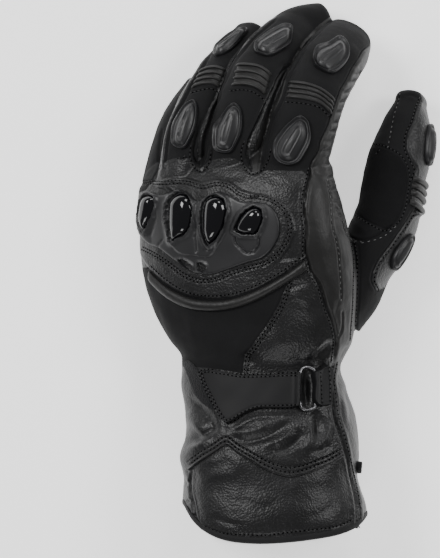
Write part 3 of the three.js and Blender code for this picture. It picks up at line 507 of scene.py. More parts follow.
_, above_hand, outside_hand = body_frame(skin_points)
owner = np.zeros(len(skin_points), int)  # 0 hand and cuff, then one number for each stall
STALL_NAMES = list(stalls)
stall_out = np.column_stack([stall_frame(name, skin_points)[3] for name in STALL_NAMES])
closest = np.abs(stall_out).argmin(axis=1)
clear = outside_hand > 0.8
owner[clear] = closest[clear] + 1
print("points of", ["hand"] + STALL_NAMES, np.bincount(owner))

# %% [markdown]
# ## Seams, folds and swells
# Three kinds of sculpting stroke give the leather its life: a stroke along a line (a seam's
# groove, a fold, a crease), a raised region inside an outline (a doubled panel), and a slow
# unevenness over everything. All are laid out in plan, where they line up with each other.

# %% Sculpting strokes
def along_line(points, line):
    """Distance from plan points to a line through plan points, side of it and share along it."""
    line = np.asarray(line, float)
    best = np.full(len(points), 1e9)
    side = np.zeros(len(points))
    share = np.zeros(len(points))
    lengths = np.linalg.norm(np.diff(line, axis=0), axis=1)
    before = np.concatenate([[0], np.cumsum(lengths)])
    for i, (a, b) in enumerate(zip(line[:-1], line[1:])):
        d = b - a
        t = np.clip(((points - a) @ d) / (d @ d), 0, 1)
        rest = points - (a + t[:, None] * d)
        distance = np.hypot(rest[:, 0], rest[:, 1])
        better = distance < best
        best[better] = distance[better]
        cross = d[0] * rest[:, 1] - d[1] * rest[:, 0]
        side[better] = np.sign(cross[better])
        share[better] = ((before[i] + t * lengths[i]) / before[-1])[better]
    return best, side, share


def curve_line(points, step=1.2):
    """More points on a smooth curve through a few."""
    points = np.asarray(points, float)
    if len(points) < 3:
        return points
    along = lengths_along(points)
    return smooth_rows(along, points, np.linspace(0, along[-1], max(3, int(along[-1] / step))))


def inside(points, outline):
    """Which plan points lie inside a closed outline."""
    outline = np.asarray(outline, float)
    found = np.zeros(len(points), bool)
    for a, b in zip(outline, np.roll(outline, -1, axis=0)):
        crosses = (a[1] > points[:, 1]) != (b[1] > points[:, 1])
        x = a[0] + (points[:, 1] - a[1]) / np.where(b[1] == a[1], 1e-9, b[1] - a[1]) * (b[0] - a[0])
        found ^= crosses & (points[:, 0] < x)
    return found


plan = plan_of(skin_points)
facing_up = np.clip(soft_normals[:, 2] * 2.5 + 0.3, 0, 1)  # strokes fade where the skin turns away
relief = np.zeros(len(skin_points))


def near_line(line, reach, mask=None):
    """The numbers of the skin's points near a line, seen from above."""
    low, high = line.min(axis=0) - reach, line.max(axis=0) + reach
    near = np.all((plan > low) & (plan < high), axis=1) & (soft_normals[:, 2] > -0.15)
    return np.nonzero(near if mask is None else near & mask)[0]


def stroke(points, width, depth, lip=0.0, fade=0.15, smooth=True, mask=None):
    """A groove of a depth along a line, or a ridge where depth is negative, with raised lips."""
    line = curve_line(points) if smooth else np.asarray(points, float)
    near = near_line(line, 4 * width, mask)
    distance, _, share = along_line(plan[near], line)
    ends = np.clip(np.minimum(share, 1 - share) / max(fade, 1e-6), 0, 1) ** 0.7 if fade else 1
    groove = -depth * np.exp(-((distance / (width / 2)) ** 2))
    if lip:
        groove += lip * np.exp(-(((distance - width) / (width * 0.6)) ** 2))
    relief[near] += groove * ends * facing_up[near]


def swell(outline, height, soft, mask=None):
    """A region raised by a height, with a soft edge inside its outline."""
    outline = np.asarray(outline, float)
    near = near_line(outline, 1, mask)
    near = near[inside(plan[near], outline)]
    distance, _, _ = along_line(plan[near], np.vstack([outline, outline[:1]]))
    edge = np.clip(distance / soft, 0, 1)
    relief[near] += height * (edge * (2 - edge)) ** 0.8 * facing_up[near]


def unevenness(points, scale, seed):
    """A slow smooth unevenness from -1 to 1, of a size in millimetres, the same at each run."""
    rng = np.random.default_rng(seed)
    total = np.zeros(len(points))
    for _ in range(14):
        direction = rng.normal(size=3)
        direction /= np.linalg.norm(direction)
        wave = scale * rng.uniform(0.7, 1.5)
        total += np.sin(points @ direction * 2 * math.pi / wave + rng.uniform(0, 6.28))
    return total / 5


print("the skin's plan spans", plan.min(axis=0).round(1), "to", plan.max(axis=0).round(1), "mm")

# %% [markdown]
# ## The seams
# Each seam pulls the leather down into a narrow groove, and the leather swells beside it. The
# lines are drawn in plan, and SEAMS gives each one a width and a depth. A welt is the narrow
# piping that stands up between a finger's back and its side, with a groove along one side.

# %% Seams and welts
PATCH_LINE = np.array([(-35.5, 5.5), (-29.5, 0), (-22.5, -5), (-14.5, -8.5), (-4.5, -9.75), (6, -8.75),
    (17, -5), (24, -1.5), (31, 2.5), (43, 11)])
MAIN_LINE = np.array([(45.5, 55), (44.5, 50), (43, 44), (42, 33), (43, 26), (43, 11.5), (45, 4.5),
    (49.5, -2.5), (53, -13.5), (56.5, -22.5), (58, -30.5), (57, -41.5)])
SOFT_LINE = np.array([(34, -0.5), (32, -6), (29, -13.5), (24, -22), (19, -29), (15.5, -34), (12.5, -37.5),
    (11.5, -43.5), (11, -48.5)])
WEB_LINE = np.array([(57, 36.5), (60, 33), (61.5, 29.5), (62.5, 24.5), (66, 20.5), (70.5, 19.5),
    (75.5, 20.5), (81, 23), (87, 27.5)])
THUMB_PATCH_LINE = np.array([(72.5, 65), (78, 66.5), (84.5, 64.5), (90, 61), (93, 56), (94, 49), (93, 43),
    (92, 36.5), (88.5, 29), (83, 25), (75.5, 28), (68, 32.5)])
THUMB_BACK_LINE = np.array([(100.5, 90), (98.5, 85), (96.5, 78), (94, 73), (93, 66), (95.5, 60), (98, 55),
    (96.5, 49.5)])
THUMB_BASE_LINE = np.array([(98.5, 36.5), (90, 24), (85.5, 17.5), (79.5, 9.5), (77, 4.5), (76, -1),
    (78.5, -6)])
SIDE_LINE = np.array([(57, -41.5), (55.5, -50.5), (56.5, -60.5), (58, -70.5), (60.5, -78.5), (63, -87.5),
    (65.5, -98.5), (67, -105.5), (68.5, -113.5), (69, -124.5)])
CHEVRON_LINE = np.array([(-15.5, -91), (-9.5, -86.5), (-3, -82.5), (3, -79), (9, -83), (16, -87), (23, -91),
    (29.5, -93.5), (35, -94.5), (41, -93.5), (48, -91), (55, -88), (61.5, -84)])
CUFF_LEFT_LINE = np.array([(-14, -93.5), (-14.5, -98.5), (-14.5, -105.5), (-13.5, -112.5), (-12, -120),
    (-9, -125)])
INDEX_SIDE_LINE = np.array([(75, 116.5), (71.5, 114), (69.5, 110.5), (65.5, 104.5), (63, 99), (60.5, 95),
    (58.5, 89.5), (56, 82.5), (54, 76.5), (50.5, 69), (49, 63), (45.5, 57.5), (45, 50.5)])
SIDE_PLEAT = [(53.5, 49.5), (55, 42.5), (55.5, 33), (56, 26), (58, 19.5), (59.5, 12.5), (60, 4.5),
              (60.5, -10.5)]
WEB_EDGE = [(66, 19.5), (67.5, 11.5), (67.5, -2.5), (67, -17), (66, -30.5)]
THUMB_TOP_LINE = [(90, 92.5), (89, 88), (87.5, 83.5), (85.5, 74), (84, 66)]
SEAMS = [  # line, width, depth, lip, all in mm
    (MAIN_LINE, 1.5, 1.1, 0.3),
    (SIDE_LINE, 1.8, 1.3, 0.5),
    (SOFT_LINE, 1.0, 0.5, 0.15),
    (WEB_LINE, 1.2, 0.7, 0.2),
    (THUMB_PATCH_LINE, 1.0, 0.45, 0.1),
    (THUMB_BACK_LINE, 1.2, 0.6, 0.25),
    (THUMB_BASE_LINE, 1.3, 0.7, 0.25),
    (CUFF_LEFT_LINE, 1.3, 0.9, 0.25),
    (INDEX_SIDE_LINE, 1.2, 0.9, 0.2),
    ([(61.5, -16), (61.5, -20.5), (61, -25.5), (59, -29.5)], 1.0, 0.5, 0.1),
    (WEB_EDGE, 1.0, 0.5, 0.3),
    ([(68.75, 18), (69.75, 8), (69.5, -10), (68, -27.5)], 0.9, 0.35, 0.1),
    (SIDE_PLEAT, 0.9, 0.35, 0.0),
    (THUMB_TOP_LINE, 0.8, 0.3, 0.0),
    ([(-29.5, 57.5), (-32, 51.5), (-35, 46.5)], 1.2, 0.6, 0.2),
]
MIDDLE_WELT = np.array([(28, 131), (21.5, 125.5), (15.5, 120), (10.5, 114.5), (6, 108.5), (3.5, 103),
    (0.5, 96.5), (-1.5, 90.5), (-4.5, 85), (-6.5, 78.5), (-8.5, 73), (-9.5, 66.5), (-9.5, 56.5)])
INDEX_WELT = np.array([(58, 131.5), (51, 126.5), (47, 122.5), (42.5, 118), (39, 112), (36, 106.5),
    (33.5, 101), (31, 92), (28, 85.5), (25.25, 80.5), (23, 71.5), (21.25, 64.5), (20.5, 59.5),
    (19.5, 53.5)])
MIDDLE_EDGE = np.array([(32, 106.5), (28, 101), (26, 96.5), (23.5, 91.5), (20.5, 85.25), (18, 79),
    (13.75, 70), (12.5, 63), (14.5, 55.5)])
RING_WELT = np.array([(-5, 113.5), (-11, 104.5), (-14.5, 98.5), (-18.5, 91), (-22.5, 83.5), (-25.5, 76.5),
    (-27, 69.5), (-28, 61.5), (-28.5, 55.5)])
WELTS = [
    MIDDLE_WELT, INDEX_WELT, MIDDLE_EDGE, RING_WELT,
    np.array([(-12, 75.5), (-13.5, 69.5), (-14.5, 63.5), (-12, 57.5), (-8.5, 55.5), (-6, 59.5),
        (-5, 66.5)]),
]
GAPS = [  # the shadow beside the crotches: line, width, depth
    ([(21, 83.5), (18, 77.5), (15, 71.5), (13, 65.5), (13.5, 59.5), (15.5, 55)], 1.5, 0.8),
    ([(-8.5, 80.5), (-10.5, 74.5), (-12.5, 68.5), (-13, 62.5), (-11, 56.5)], 1.4, 0.8),
    ([(-28.5, 75.5), (-30, 68.5), (-30.5, 61.5), (-30, 56.5)], 1.5, 0.8),
]
for line, width, depth, lip in SEAMS:
    stroke(line, width, depth, lip, fade=0.04)
for line in WELTS:
    stroke(line, 1.3, -0.8, fade=0.05)
    stroke(line + np.array([1.2, -0.4]), 1.0, 0.7, fade=0.05)
for line, width, depth in GAPS:
    stroke(line, width, depth, fade=0.12)
print(len(SEAMS), "seams and", len(WELTS), "welts")

# %% [markdown]
# ## Doubled leather and soft swells
# The patch round the knuckles is a second layer of leather, and the padding under the back of the
# hand and the cuff makes broad soft swells between the seams.

# %% Raised regions
KNUCKLE_PATCH = np.array([(-25, 50.5), (-15.5, 50.5), (-9, 48.5), (-2, 50), (5.5, 48.5), (11, 44.5),
    (16, 43), (23, 42), (28.5, 39.5), (33.5, 36), (36.5, 31), (38, 24), (35.5, 16.5), (30.5, 9.5), (43, 11),
    (31, 2.5), (24, -1.5), (17, -5), (6, -8.75), (-4.5, -9.75), (-14.5, -8.5), (-22.5, -5), (-29.5, 0),
    (-35.5, 5.5), (-40, 12), (-43, 22), (-44, 34.5), (-41, 46.5)])
SWELLS = [  # outline, height, soft edge, in mm
    (KNUCKLE_PATCH, 0.9, 1.6),
    ([(-14, -95.5), (3, -81), (23, -93.5), (35, -96.5), (49, -93.5), (62, -86.5), (66, -105.5),
      (68, -116.5), (55, -125.5), (30, -129.5), (4, -128.5), (-10, -120.5)], 0.9, 9.0),
    ([(46.5, 53.5), (54, 49.5), (57, 32), (59, 12), (59.5, -10.5), (56.5, -19.5), (51, -3), (45, 8.5),
      (44, 29.5)], 0.7, 7.0),
    ([(35, -5.5), (46, -0.5), (53.5, -18), (56.5, -33), (55, -40.5), (21, -40.5), (16, -36.5), (25, -25.5)],
     1.0, 10.0),
]
for outline, height, soft in SWELLS:
    swell(outline, height, soft)
print(len(SWELLS), "raised regions")

# %% [markdown]
# ## Folds and puckers
# Leather folds where it bends (below the thumb, beside the strap) and puckers where the strap
# gathers it. Each row is one fold seen in plan. A fold is a wide shallow groove, and a row with a
# negative depth is the ridge between two folds.

# %% Folds
FOLDS = [  # line, width, depth in mm
    ([(1, -75.5), (6, -75.5), (12, -71.5), (18, -69), (28, -68.5), (39, -68.5)], 3.0, 0.9),
    ([(96.5, 33), (99, 32.25), (102.5, 33.5)], 2.6, -1.6),
    ([(43.25, -45.5), (43.25, -55), (43.25, -64.5)], 4.0, 3.0),
    ([(58, -31.5), (54, -34.5), (49.5, -38.5), (46, -42.5)], 5.0, 2.2),
    ([(53, -29.5), (49, -33), (44.5, -37), (40.5, -41.5)], 4.0, -0.8),
    ([(11.5, -36.5), (13.5, -39.5), (14.5, -43.5)], 5.0, 1.4),
    ([(8, -30.5), (9.5, -36.5), (9, -42.5)], 5.0, -0.6),
    ([(33.5, -10.5), (37, -8.5), (41.5, -9.5), (46, -13.5)], 4.0, -0.5),
    ([(31.5, -6.5), (36, -4), (40.5, -2.5), (46, -3.5)], 3.0, 0.6),
    ([(-16, -58.5), (-10.5, -64.5), (-5, -70.5), (-2, -76.5)], 5.0, 1.8),
    ([(-17, -66.5), (-12, -72.5), (-8.5, -78.5), (-12, -83.5)], 5.0, -1.4),
    ([(-17, -80.5), (-11, -79.5), (-6, -76.5), (-1.5, -73.5)], 4.0, 1.6),
    ([(-18, -85.5), (-13, -84.5), (-8, -82.5), (-4, -79.5)], 3.5, -0.9),
    ([(-16, -88.5), (-12, -87.5), (-7.5, -85)], 2.5, 0.6),
    ([(3, -74.5), (10, -76.5), (18, -75.5), (24, -72.5)], 4.5, -1.0),
    ([(4, -78.5), (13, -81), (21, -79.5), (29, -75.5), (35, -71)], 4.0, 1.3),
    ([(21, -83.5), (29, -81.5), (35, -77.5), (39, -71.5)], 4.0, -1.1),
    ([(26, -86.5), (34, -84.5), (39, -80.5), (42, -73.5)], 3.5, 1.4),
    ([(40, -86.5), (44, -83.5), (46, -78.5), (45, -72.5)], 4.5, -1.3),
    ([(46, -80.5), (49, -76.5), (49, -70.5), (46.5, -66)], 4.0, 1.8),
    ([(42.5, -78.5), (40, -74.5), (40, -69.5)], 3.0, -0.8),
    ([(49, -83.5), (53, -79.5), (55, -73.5), (55, -67.5)], 4.0, -1.0),
    ([(45, -86.5), (51, -85.5), (56, -82.5)], 3.0, 0.7),
    ([(-10, -95.5), (-3, -93.5), (3, -91.5), (9, -93.5)], 5.0, 0.5),
    ([(-7, -100.5), (1, -97.5), (10, -97.5)], 5.0, -0.4),
    ([(-4, -118.5), (3, -121.5), (12, -123.5)], 3.0, 0.4),
    ([(8, -110.5), (21, -113.5), (35, -110.5)], 7.0, 0.4),
    ([(35, -103.5), (45, -100.5), (56, -101.5)], 7.0, -0.4),
    ([(40, -120.5), (50, -117.5), (61, -111.5)], 5.0, 0.4),
    ([(51, 44.5), (49, 37), (48, 28.5)], 6.0, 0.3),
    ([(54, 1.5), (55.5, -6.5), (59, -13.5)], 4.0, 0.35),
    ([(62, -10.5), (63.5, -20.5), (65, -28.5)], 4.0, 0.4),
    ([(64, -33), (62.5, -39.5), (60.5, -44.5)], 5.0, 0.9),
    ([(66, -36.5), (65, -46.5), (68, -57.5)], 5.0, -0.7),
    ([(62.5, -53.5), (65, -62.5), (66, -72.5)], 4.0, 0.9),
    ([(59, -54.5), (62.5, -65.5), (64, -80.5)], 4.0, -0.5),
    ([(65, -80.5), (67, -91.5), (68, -100.5)], 4.0, 0.6),
    ([(-25, -10.5), (-22, -19.5), (-17, -27.5)], 9.0, 0.5),
    ([(72, 22.5), (77, 24.5), (84, 27.5)], 3.0, -0.5),
    ([(61, 36.5), (65, 32.5), (68, 27.5)], 3.0, 0.6),
    ([(64, 31.5), (69, 26.5), (74, 23.5)], 4.0, -0.7),
    ([(-35, 50.5), (-27, 49), (-20, 50)], 3.5, 0.4),
    ([(-7, 53.5), (3, 51.5), (13, 50.5)], 4.0, 0.4),
    ([(21, 51.5), (30, 48.5), (38, 46.5)], 4.0, 0.35),
]
CRINKLES = [  # short creases across the side of the index finger and the web
    [(73, 108.5), (69, 105.5)], [(71, 103.5), (66.5, 101.5)], [(68.5, 99.5), (63.5, 97.5)],
    [(66, 94), (61.5, 92.5)], [(63.5, 89), (59.5, 88)], [(62, 83.5), (57.5, 83)],
    [(60.5, 78.5), (55.5, 77.5)], [(59, 74), (54, 73.5)], [(56.5, 69), (51.5, 68)],
    [(55.5, 64.5), (50, 62.5)], [(57, 58), (51, 56.5)], [(58, 51.5), (53, 50.5)],
    [(59, 45.5), (54.5, 44.5)], [(60.5, 39.5), (56, 39)], [(62, 32.5), (57, 33)],
    [(92, 91.5), (96, 92), (99.5, 90)], [(-17, -95.5), (-15, -97.5)], [(-18, -101.5), (-15, -103)],
    [(-17, -110.5), (-14, -111.5)], [(-15, -118.5), (-12, -118.5)],
]
for line, width, depth in FOLDS:
    stroke(line, width, depth, fade=0.35)
for line in CRINKLES:
    stroke(line, 1.7, 0.6, lip=0.25, fade=0.4)
print(len(FOLDS), "folds and", len(CRINKLES), "crinkles")

# %% [markdown]
# ## Where the stitches run
# Stitched rows are listed here because each one lies in a shallow channel of its own: the thread
# is pulled tight and the leather rises beside it. The thread itself is made near the end.

# %% Stitched rows and their channels
def beside(points, offset, step=0.6):
    """A smooth line moved sideways: to the left of its direction where the offset is positive."""
    line = curve_line(points, step)
    ahead = np.gradient(line, axis=0)
    ahead /= np.maximum(np.linalg.norm(ahead, axis=1), 1e-9)[:, None]
    return line + np.column_stack([-ahead[:, 1], ahead[:, 0]]) * offset


GUARD_ROW = np.array([(-40, 49), (-30, 48), (-19.5, 48.5), (-15.5, 48), (-9, 46), (-2, 47.5), (4, 46.5),
    (9.5, 42.5), (14.5, 41), (21, 40.5), (27, 38.5), (32, 34.5), (34.5, 30), (35, 24.5), (33, 18.5),
    (29, 12.5), (23, 8), (14, 5.5), (6, 3), (-2.5, -0.5), (-10, -1), (-18, 2), (-26, 8), (-33, 12.5),
    (-39, 15.5)])
CROTCH_ROWS = [
    [(12, 68.5), (10.5, 63), (11.5, 57.5), (15.5, 52.5), (20.5, 54), (24, 59), (25.5, 64.5)],
    [(-14.5, 66.5), (-15, 61), (-13, 56), (-9.5, 53.5), (-6, 57), (-4.5, 63)],
]
DARK_ROWS = [  # line, offsets in mm
    (GUARD_ROW, (0.7, -0.7)),
    (PATCH_LINE, (1.3,)),
    (SOFT_LINE, (1.1, 2.5)),
    ([(-8, -123.5), (-1, -126.5), (10, -127.75), (23, -128), (36, -126.5), (49, -125), (59, -123.5),
      (66, -120.5)], (0.0,)),
    (WEB_EDGE, (-1.0, 1.0)),
    (MAIN_LINE, (-1.4,)),
    (THUMB_PATCH_LINE, (0.9,)),
    (THUMB_BACK_LINE, (-1.0,)),
    (THUMB_BASE_LINE, (1.2,)),
    (SIDE_LINE[:-1], (1.6,)),
    ([(33, 88.5), (43, 87.5), (50, 85.5), (55, 80.5)], (0.0,)),
    ([(5, 94), (12, 94.5), (17.5, 93), (22, 89.5)], (0.0,)),
    ([(-14.5, 93), (-9, 94.5), (-4, 95), (-0.5, 93)], (0.0,)),
    *[(line, (0.0,)) for line in CROTCH_ROWS],
]
# These rows get pale thread: a painted highlight on the stitches of a few seams.
PALE_ROWS = [
    (SIDE_PLEAT, (0.0,)),
    ([(61.5, 28.5), (63, 23.5), (66, 19.5), (70.5, 18.5)], (0.0,)),
    (THUMB_TOP_LINE, (0.0,)),
    ([(71, 19.5), (75.5, 20.5), (81, 22.5), (86.5, 27)], (-1.4,)),
]
for line, offsets in DARK_ROWS + PALE_ROWS:
    for offset in offsets:
        stroke(beside(line, offset), 0.9, 0.28, lip=0.1, fade=0.02, smooth=False)
print(len(DARK_ROWS), "dark and", len(PALE_ROWS), "pale rows")

# %% Slow unevenness and the finished skin
relief += unevenness(skin_points, 26, 3) * 0.28 + unevenness(skin_points, 11, 8) * 0.12
relief += unevenness(skin_points, 5.5, 21) * 0.05
keep_flat = np.clip(skin_points[:, 2] / 1.5, 0, 1)  # what rests on the floor stays flat
form_points = skin_points.copy()
skin_points = skin_points + soft_normals * (relief * keep_flat)[:, None]
skin_points[:, 2] = np.maximum(skin_points[:, 2], 0.05)
skin_normals = point_normals(skin_points)
plan = plan_of(skin_points)
print("relief from", round(float(relief.min()), 1), "to", round(float(relief.max()), 1), "mm")

# %% [markdown]
# ## Leather, cloth and moulding
# Every finish is built from a few shader nodes: a colour, a roughness that varies a little, and a
# bump of the right scale. Leather has rounded pebbles of about a millimetre with fine pores.
# Softshell cloth is matt with a fine bump, suede is coarser, and moulded parts are smooth.

# %% Helper for finishes
def finish(name, colour, roughness, layers, sheen=0.0, coat=0.0, metallic=0.0, specular=0.4, shade=0.25):
    """A material with bump layers: (kind, size mm, depth mm), and a slight change of colour."""
    material, shader = surface_material(name, colour, roughness)
    tree = material.node_tree
    nodes, wires = tree.nodes, tree.links
    where = nodes.new("ShaderNodeTexCoord").outputs["Object"]
    height = None
    for kind, size, depth in layers:
        texture = nodes.new("ShaderNodeTexVoronoi" if kind == "pebble" else "ShaderNodeTexNoise")
        texture.inputs["Scale"].default_value = 1000 / size
        if kind == "pebble":
            texture.feature = "SMOOTH_F1"
            texture.inputs["Smoothness"].default_value = 0.6
            value = texture.outputs["Distance"]
        else:
            texture.inputs["Detail"].default_value = 3.0
            value = texture.outputs["Fac"]
        wires.new(where, texture.inputs["Vector"])
        bump = nodes.new("ShaderNodeBump")
        bump.inputs["Strength"].default_value = 1.0
        bump.inputs["Distance"].default_value = depth / 1000
        bump.invert = kind == "pebble"
        wires.new(value, bump.inputs["Height"])
        if height is not None:
            wires.new(height, bump.inputs["Normal"])
        height = bump.outputs["Normal"]
    if height is not None:
        wires.new(height, shader.inputs["Normal"])
    patchy = nodes.new("ShaderNodeTexNoise")
    patchy.inputs["Scale"].default_value = 60
    patchy.inputs["Detail"].default_value = 4.0
    wires.new(where, patchy.inputs["Vector"])
    tones = nodes.new("ShaderNodeValToRGB")
    tones.color_ramp.elements[0].position = 0.35
    tones.color_ramp.elements[1].position = 0.7
    tones.color_ramp.elements[0].color = (*[c * (1 - shade) for c in colour], 1)
    tones.color_ramp.elements[1].color = (*[c * (1 + shade) for c in colour], 1)
    wires.new(patchy.outputs["Fac"], tones.inputs["Fac"])
    wires.new(tones.outputs["Color"], shader.inputs["Base Color"])
    rough = nodes.new("ShaderNodeMapRange")
    rough.inputs["To Min"].default_value = max(0.02, roughness - 0.07)
    rough.inputs["To Max"].default_value = min(1.0, roughness + 0.07)
    wires.new(patchy.outputs["Fac"], rough.inputs["Value"])
    wires.new(rough.outputs["Result"], shader.inputs["Roughness"])
    shader.inputs["Sheen Weight"].default_value = sheen
    shader.inputs["Sheen Roughness"].default_value = 0.6
    shader.inputs["Coat Weight"].default_value = coat
    shader.inputs["Coat Roughness"].default_value = 0.03
    shader.inputs["Metallic"].default_value = metallic
    shader.inputs["Specular IOR Level"].default_value = specular
    return material


# %% The finishes
LEATHER = finish("grained_leather", (0.0062, 0.0062, 0.0066), 0.41,
                 [("noise", 5.0, 0.22), ("noise", 0.5, 0.03), ("pebble", 1.0, 0.18)], specular=0.34)
SIDE_LEATHER = finish("soft_side_leather", (0.0075, 0.0073, 0.0071), 0.47,
                      [("noise", 0.6, 0.03), ("pebble", 1.6, 0.06)], sheen=0.01, specular=0.32)
SOFTSHELL = finish("softshell_cloth", (0.0045, 0.0045, 0.005), 0.8,
                   [("noise", 0.35, 0.08), ("noise", 1.1, 0.06)], sheen=0.02, specular=0.18)
SUEDE = finish("suede", (0.005, 0.005, 0.0054), 0.95, [("noise", 0.8, 0.2), ("noise", 2.5, 0.2)],
               sheen=0.02, specular=0.12)
MOULDING = finish("moulded_plate", (0.010, 0.010, 0.011), 0.42, [("noise", 0.5, 0.015)], specular=0.42,
                  shade=0.08)
GLOSS = finish("gloss_shell", (0.002, 0.002, 0.003), 0.05, [], coat=0.25, specular=0.35, shade=0.02)
STRAP_CLOTH = finish("strap_cloth", (0.0045, 0.0045, 0.005), 0.6,
                     [("noise", 0.5, 0.04), ("noise", 1.5, 0.03)], specular=0.24)
HEM_TAPE = finish("hem_tape", (0.006, 0.006, 0.0065), 0.7, [("noise", 0.4, 0.06)], sheen=0.03,
                  specular=0.25)
HOOK_CLOTH = finish("hook_cloth", (0.006, 0.006, 0.007), 0.95, [("noise", 0.7, 0.35), ("pebble", 1.0, 0.2)],
                    sheen=0.1, specular=0.2)
DARK_METAL = finish("dark_metal", (0.13, 0.13, 0.135), 0.28, [("noise", 0.8, 0.01)], metallic=0.9,
                    shade=0.1)
THREAD = finish("thread", (0.016, 0.016, 0.017), 0.55, [], shade=0.1)
# Pale grey thread is a painted highlight on a few seams' stitches, not the thread's own colour.
PALE_THREAD = finish("thread_painted_highlight", (0.16, 0.16, 0.16), 0.7, [], shade=0.2)
# Painted shade: a near-black finish without reflection stands for the dark inside each needle hole.
HOLE_SHADE = finish("needle_hole_painted_shade", (0.0008, 0.0008, 0.0008), 1.0, [], specular=0.0, shade=0.1)
LINING = finish("lining", (0.006, 0.006, 0.006), 0.95, [("noise", 0.5, 0.1)], sheen=0.05, specular=0.2)
print(len(bpy.data.materials), "materials")

# %% [markdown]
# ## Cut and split into panels
# Leather workers cut panels and sew them together; here the finished skin is cut along the same
# seams. Every face of the skin goes to one panel by its place in plan, and the part beyond the
# hem is cut away so that the cuff is open. Each panel then gets a wall of leather thickness.

# %% Sort the faces into panels
HEM_LINE = np.array([(-60, -112), (-18, -112), (-14, -120.5), (-6.5, -127), (4, -130.75), (21, -132),
    (40, -130.5), (58, -127.75), (65, -125.5), (69, -123.5), (71.5, -121), (73, -118), (110, -117)])
BASE_LINE = np.array([(-50, 39.5), (-37, 44.5), (-33, 50.5), (-29.5, 56.5), (-26, 59.5), (-20, 61),
    (-15, 60), (-10, 55), (-5.5, 59), (1, 60.5), (7, 60.5), (11.5, 58), (15.5, 53.5), (21, 54), (28, 54.5),
    (35, 54), (41, 54), (45, 51), (55, 56.5)])
THUMB_REGION = np.array([(57, 36.5), (61.5, 29.5), (62.5, 24.5), (66, 20.5), (70.5, 19.5), (75.5, 20.5),
    (81, 22), (85.5, 17.5), (79.5, 9.5), (77, 4.5), (76, -1), (78.5, -6), (73, -25.5), (115, -25.5),
    (115, 104.5), (70, 104.5), (63, 64.5), (60, 44.5)])
WRIST_LINE = np.array([(-50, -43.5), (-12, -44), (-5.5, -44.5), (1, -45.5), (10.5, -47), (19, -47.25),
    (29.5, -46.5), (36, -46.25), (46, -45), (55, -43.5), (110, -43.5)])


def up_of(line, right):
    order = np.argsort(line[:, 0])
    return np.interp(right, line[order, 0], line[order, 1])


def right_of(line, up):
    order = np.argsort(line[:, 1])
    return np.interp(up, line[order, 1], line[order, 0])


face_middle = skin_points[skin_faces].mean(axis=1)
face_plan = plan_of(face_middle)
face_right, face_up = face_plan[:, 0], face_plan[:, 1]
face_turn = soft_normals[skin_faces].mean(axis=1)[:, 2]
face_owner = np.median(owner[skin_faces], axis=1).astype(int)
form_share = (above_hand / np.interp(skin_points[:, 1], body_ys,
                                     body_table[:, 10]))[skin_faces].mean(axis=1)

thumb_number = STALL_NAMES.index("thumb") + 1
stall_guess = np.abs(stall_out[skin_faces].mean(axis=1)[:, :4]).argmin(axis=1) + 1
FINGER_GAPS = [
    np.array([(58, 133.5), (50, 127.5), (45.5, 123), (41, 118.5), (37.5, 112), (34.5, 105.5), (32.5, 100),
        (30.5, 93.5), (27.5, 87.5), (24, 82.5), (20.5, 74.5), (17.5, 65.5), (16, 53)]),
    np.array([(29, 133.5), (21, 126), (15, 120.5), (10, 115.5), (5, 109.5), (2.5, 103.5), (-0.5, 97),
        (-3, 90.5), (-6.5, 83.5), (-9, 76.5), (-11, 69.5), (-11.5, 63.5), (-10, 54)]),
    np.array([(-3, 116.5), (-11.5, 105), (-15.5, 99), (-19.5, 91.5), (-23.5, 84), (-26.5, 76.5),
        (-28, 70.5), (-29, 64.5), (-29.5, 55.5)]),
]
from_right = sum((face_right < right_of(line, face_up)).astype(int) for line in FINGER_GAPS)
stall_guess = np.where(face_turn > 0.25, from_right + 1, stall_guess)
on_top = face_turn > -0.1
above_base = face_up > up_of(BASE_LINE, face_right)
THUMB_FROM = 66.0  # right of here the thumb's region holds thumb alone
owned_by_thumb = face_owner == thumb_number
in_thumb_region = inside(face_plan, THUMB_REGION) & (owned_by_thumb | (face_right > THUMB_FROM))
is_thumb = np.where(on_top, in_thumb_region, owned_by_thumb)
owned_by_finger = (face_owner > 0) & (face_owner < thumb_number)
is_finger = ~is_thumb & np.where(on_top, above_base & (face_right < 57), owned_by_finger)
is_finger |= ~is_thumb & (face_up > 60)
is_back = ~is_thumb & ~is_finger & (form_share > -0.35)
is_palm = ~is_thumb & ~is_finger & ~is_back
hand = face_up > up_of(WRIST_LINE, face_right)
left_of_main = face_right < right_of(MAIN_LINE, face_up)
left_of_side = face_right < right_of(SIDE_LINE, face_up)
below_patch = face_up < up_of(PATCH_LINE, face_right)
in_soft = face_right < right_of(SOFT_LINE, face_up)
below_chevron = face_up < up_of(CHEVRON_LINE, face_right)
left_strip = (face_right < right_of(CUFF_LEFT_LINE, face_up)) & below_chevron

PANELS = {name + "_finger": is_finger & (stall_guess == i + 1) for i, name in enumerate(STALL_NAMES[:4])}
PANELS.update({
    "thumb": is_thumb & ~(inside(face_plan, THUMB_PATCH_LINE) & (face_turn > -0.2)),
    "thumb_patch": is_thumb & inside(face_plan, THUMB_PATCH_LINE) & (face_turn > -0.2),
    "knuckle_panel": is_back & hand & left_of_main & ~below_patch,
    "softshell_panel": is_back & hand & left_of_main & below_patch & in_soft,
    "wrist_panel": is_back & hand & left_of_main & below_patch & ~in_soft,
    "side_panel": is_back & hand & ~left_of_main,
    "cuff_back": is_back & ~hand & left_of_side & ~below_chevron,
    "cuff_gauntlet": is_back & ~hand & left_of_side & below_chevron & ~left_strip,
    "cuff_side": is_back & ~hand & ~left_of_side,
    "hand_palm": is_palm & hand,
    "cuff_palm": (is_palm & ~hand) | (is_back & ~hand & left_of_side & left_strip),
})
kept = face_up > up_of(HEM_LINE, face_right)
edge_ends = np.sort(np.concatenate([skin_faces[:, [i, (i + 1) % 4]] for i in range(4)]), axis=1)
edge_keys = edge_ends[:, 0].astype(np.int64) * len(skin_points) + edge_ends[:, 1]
edge_number = np.unique(edge_keys, return_inverse=True)[1].reshape(4, -1)
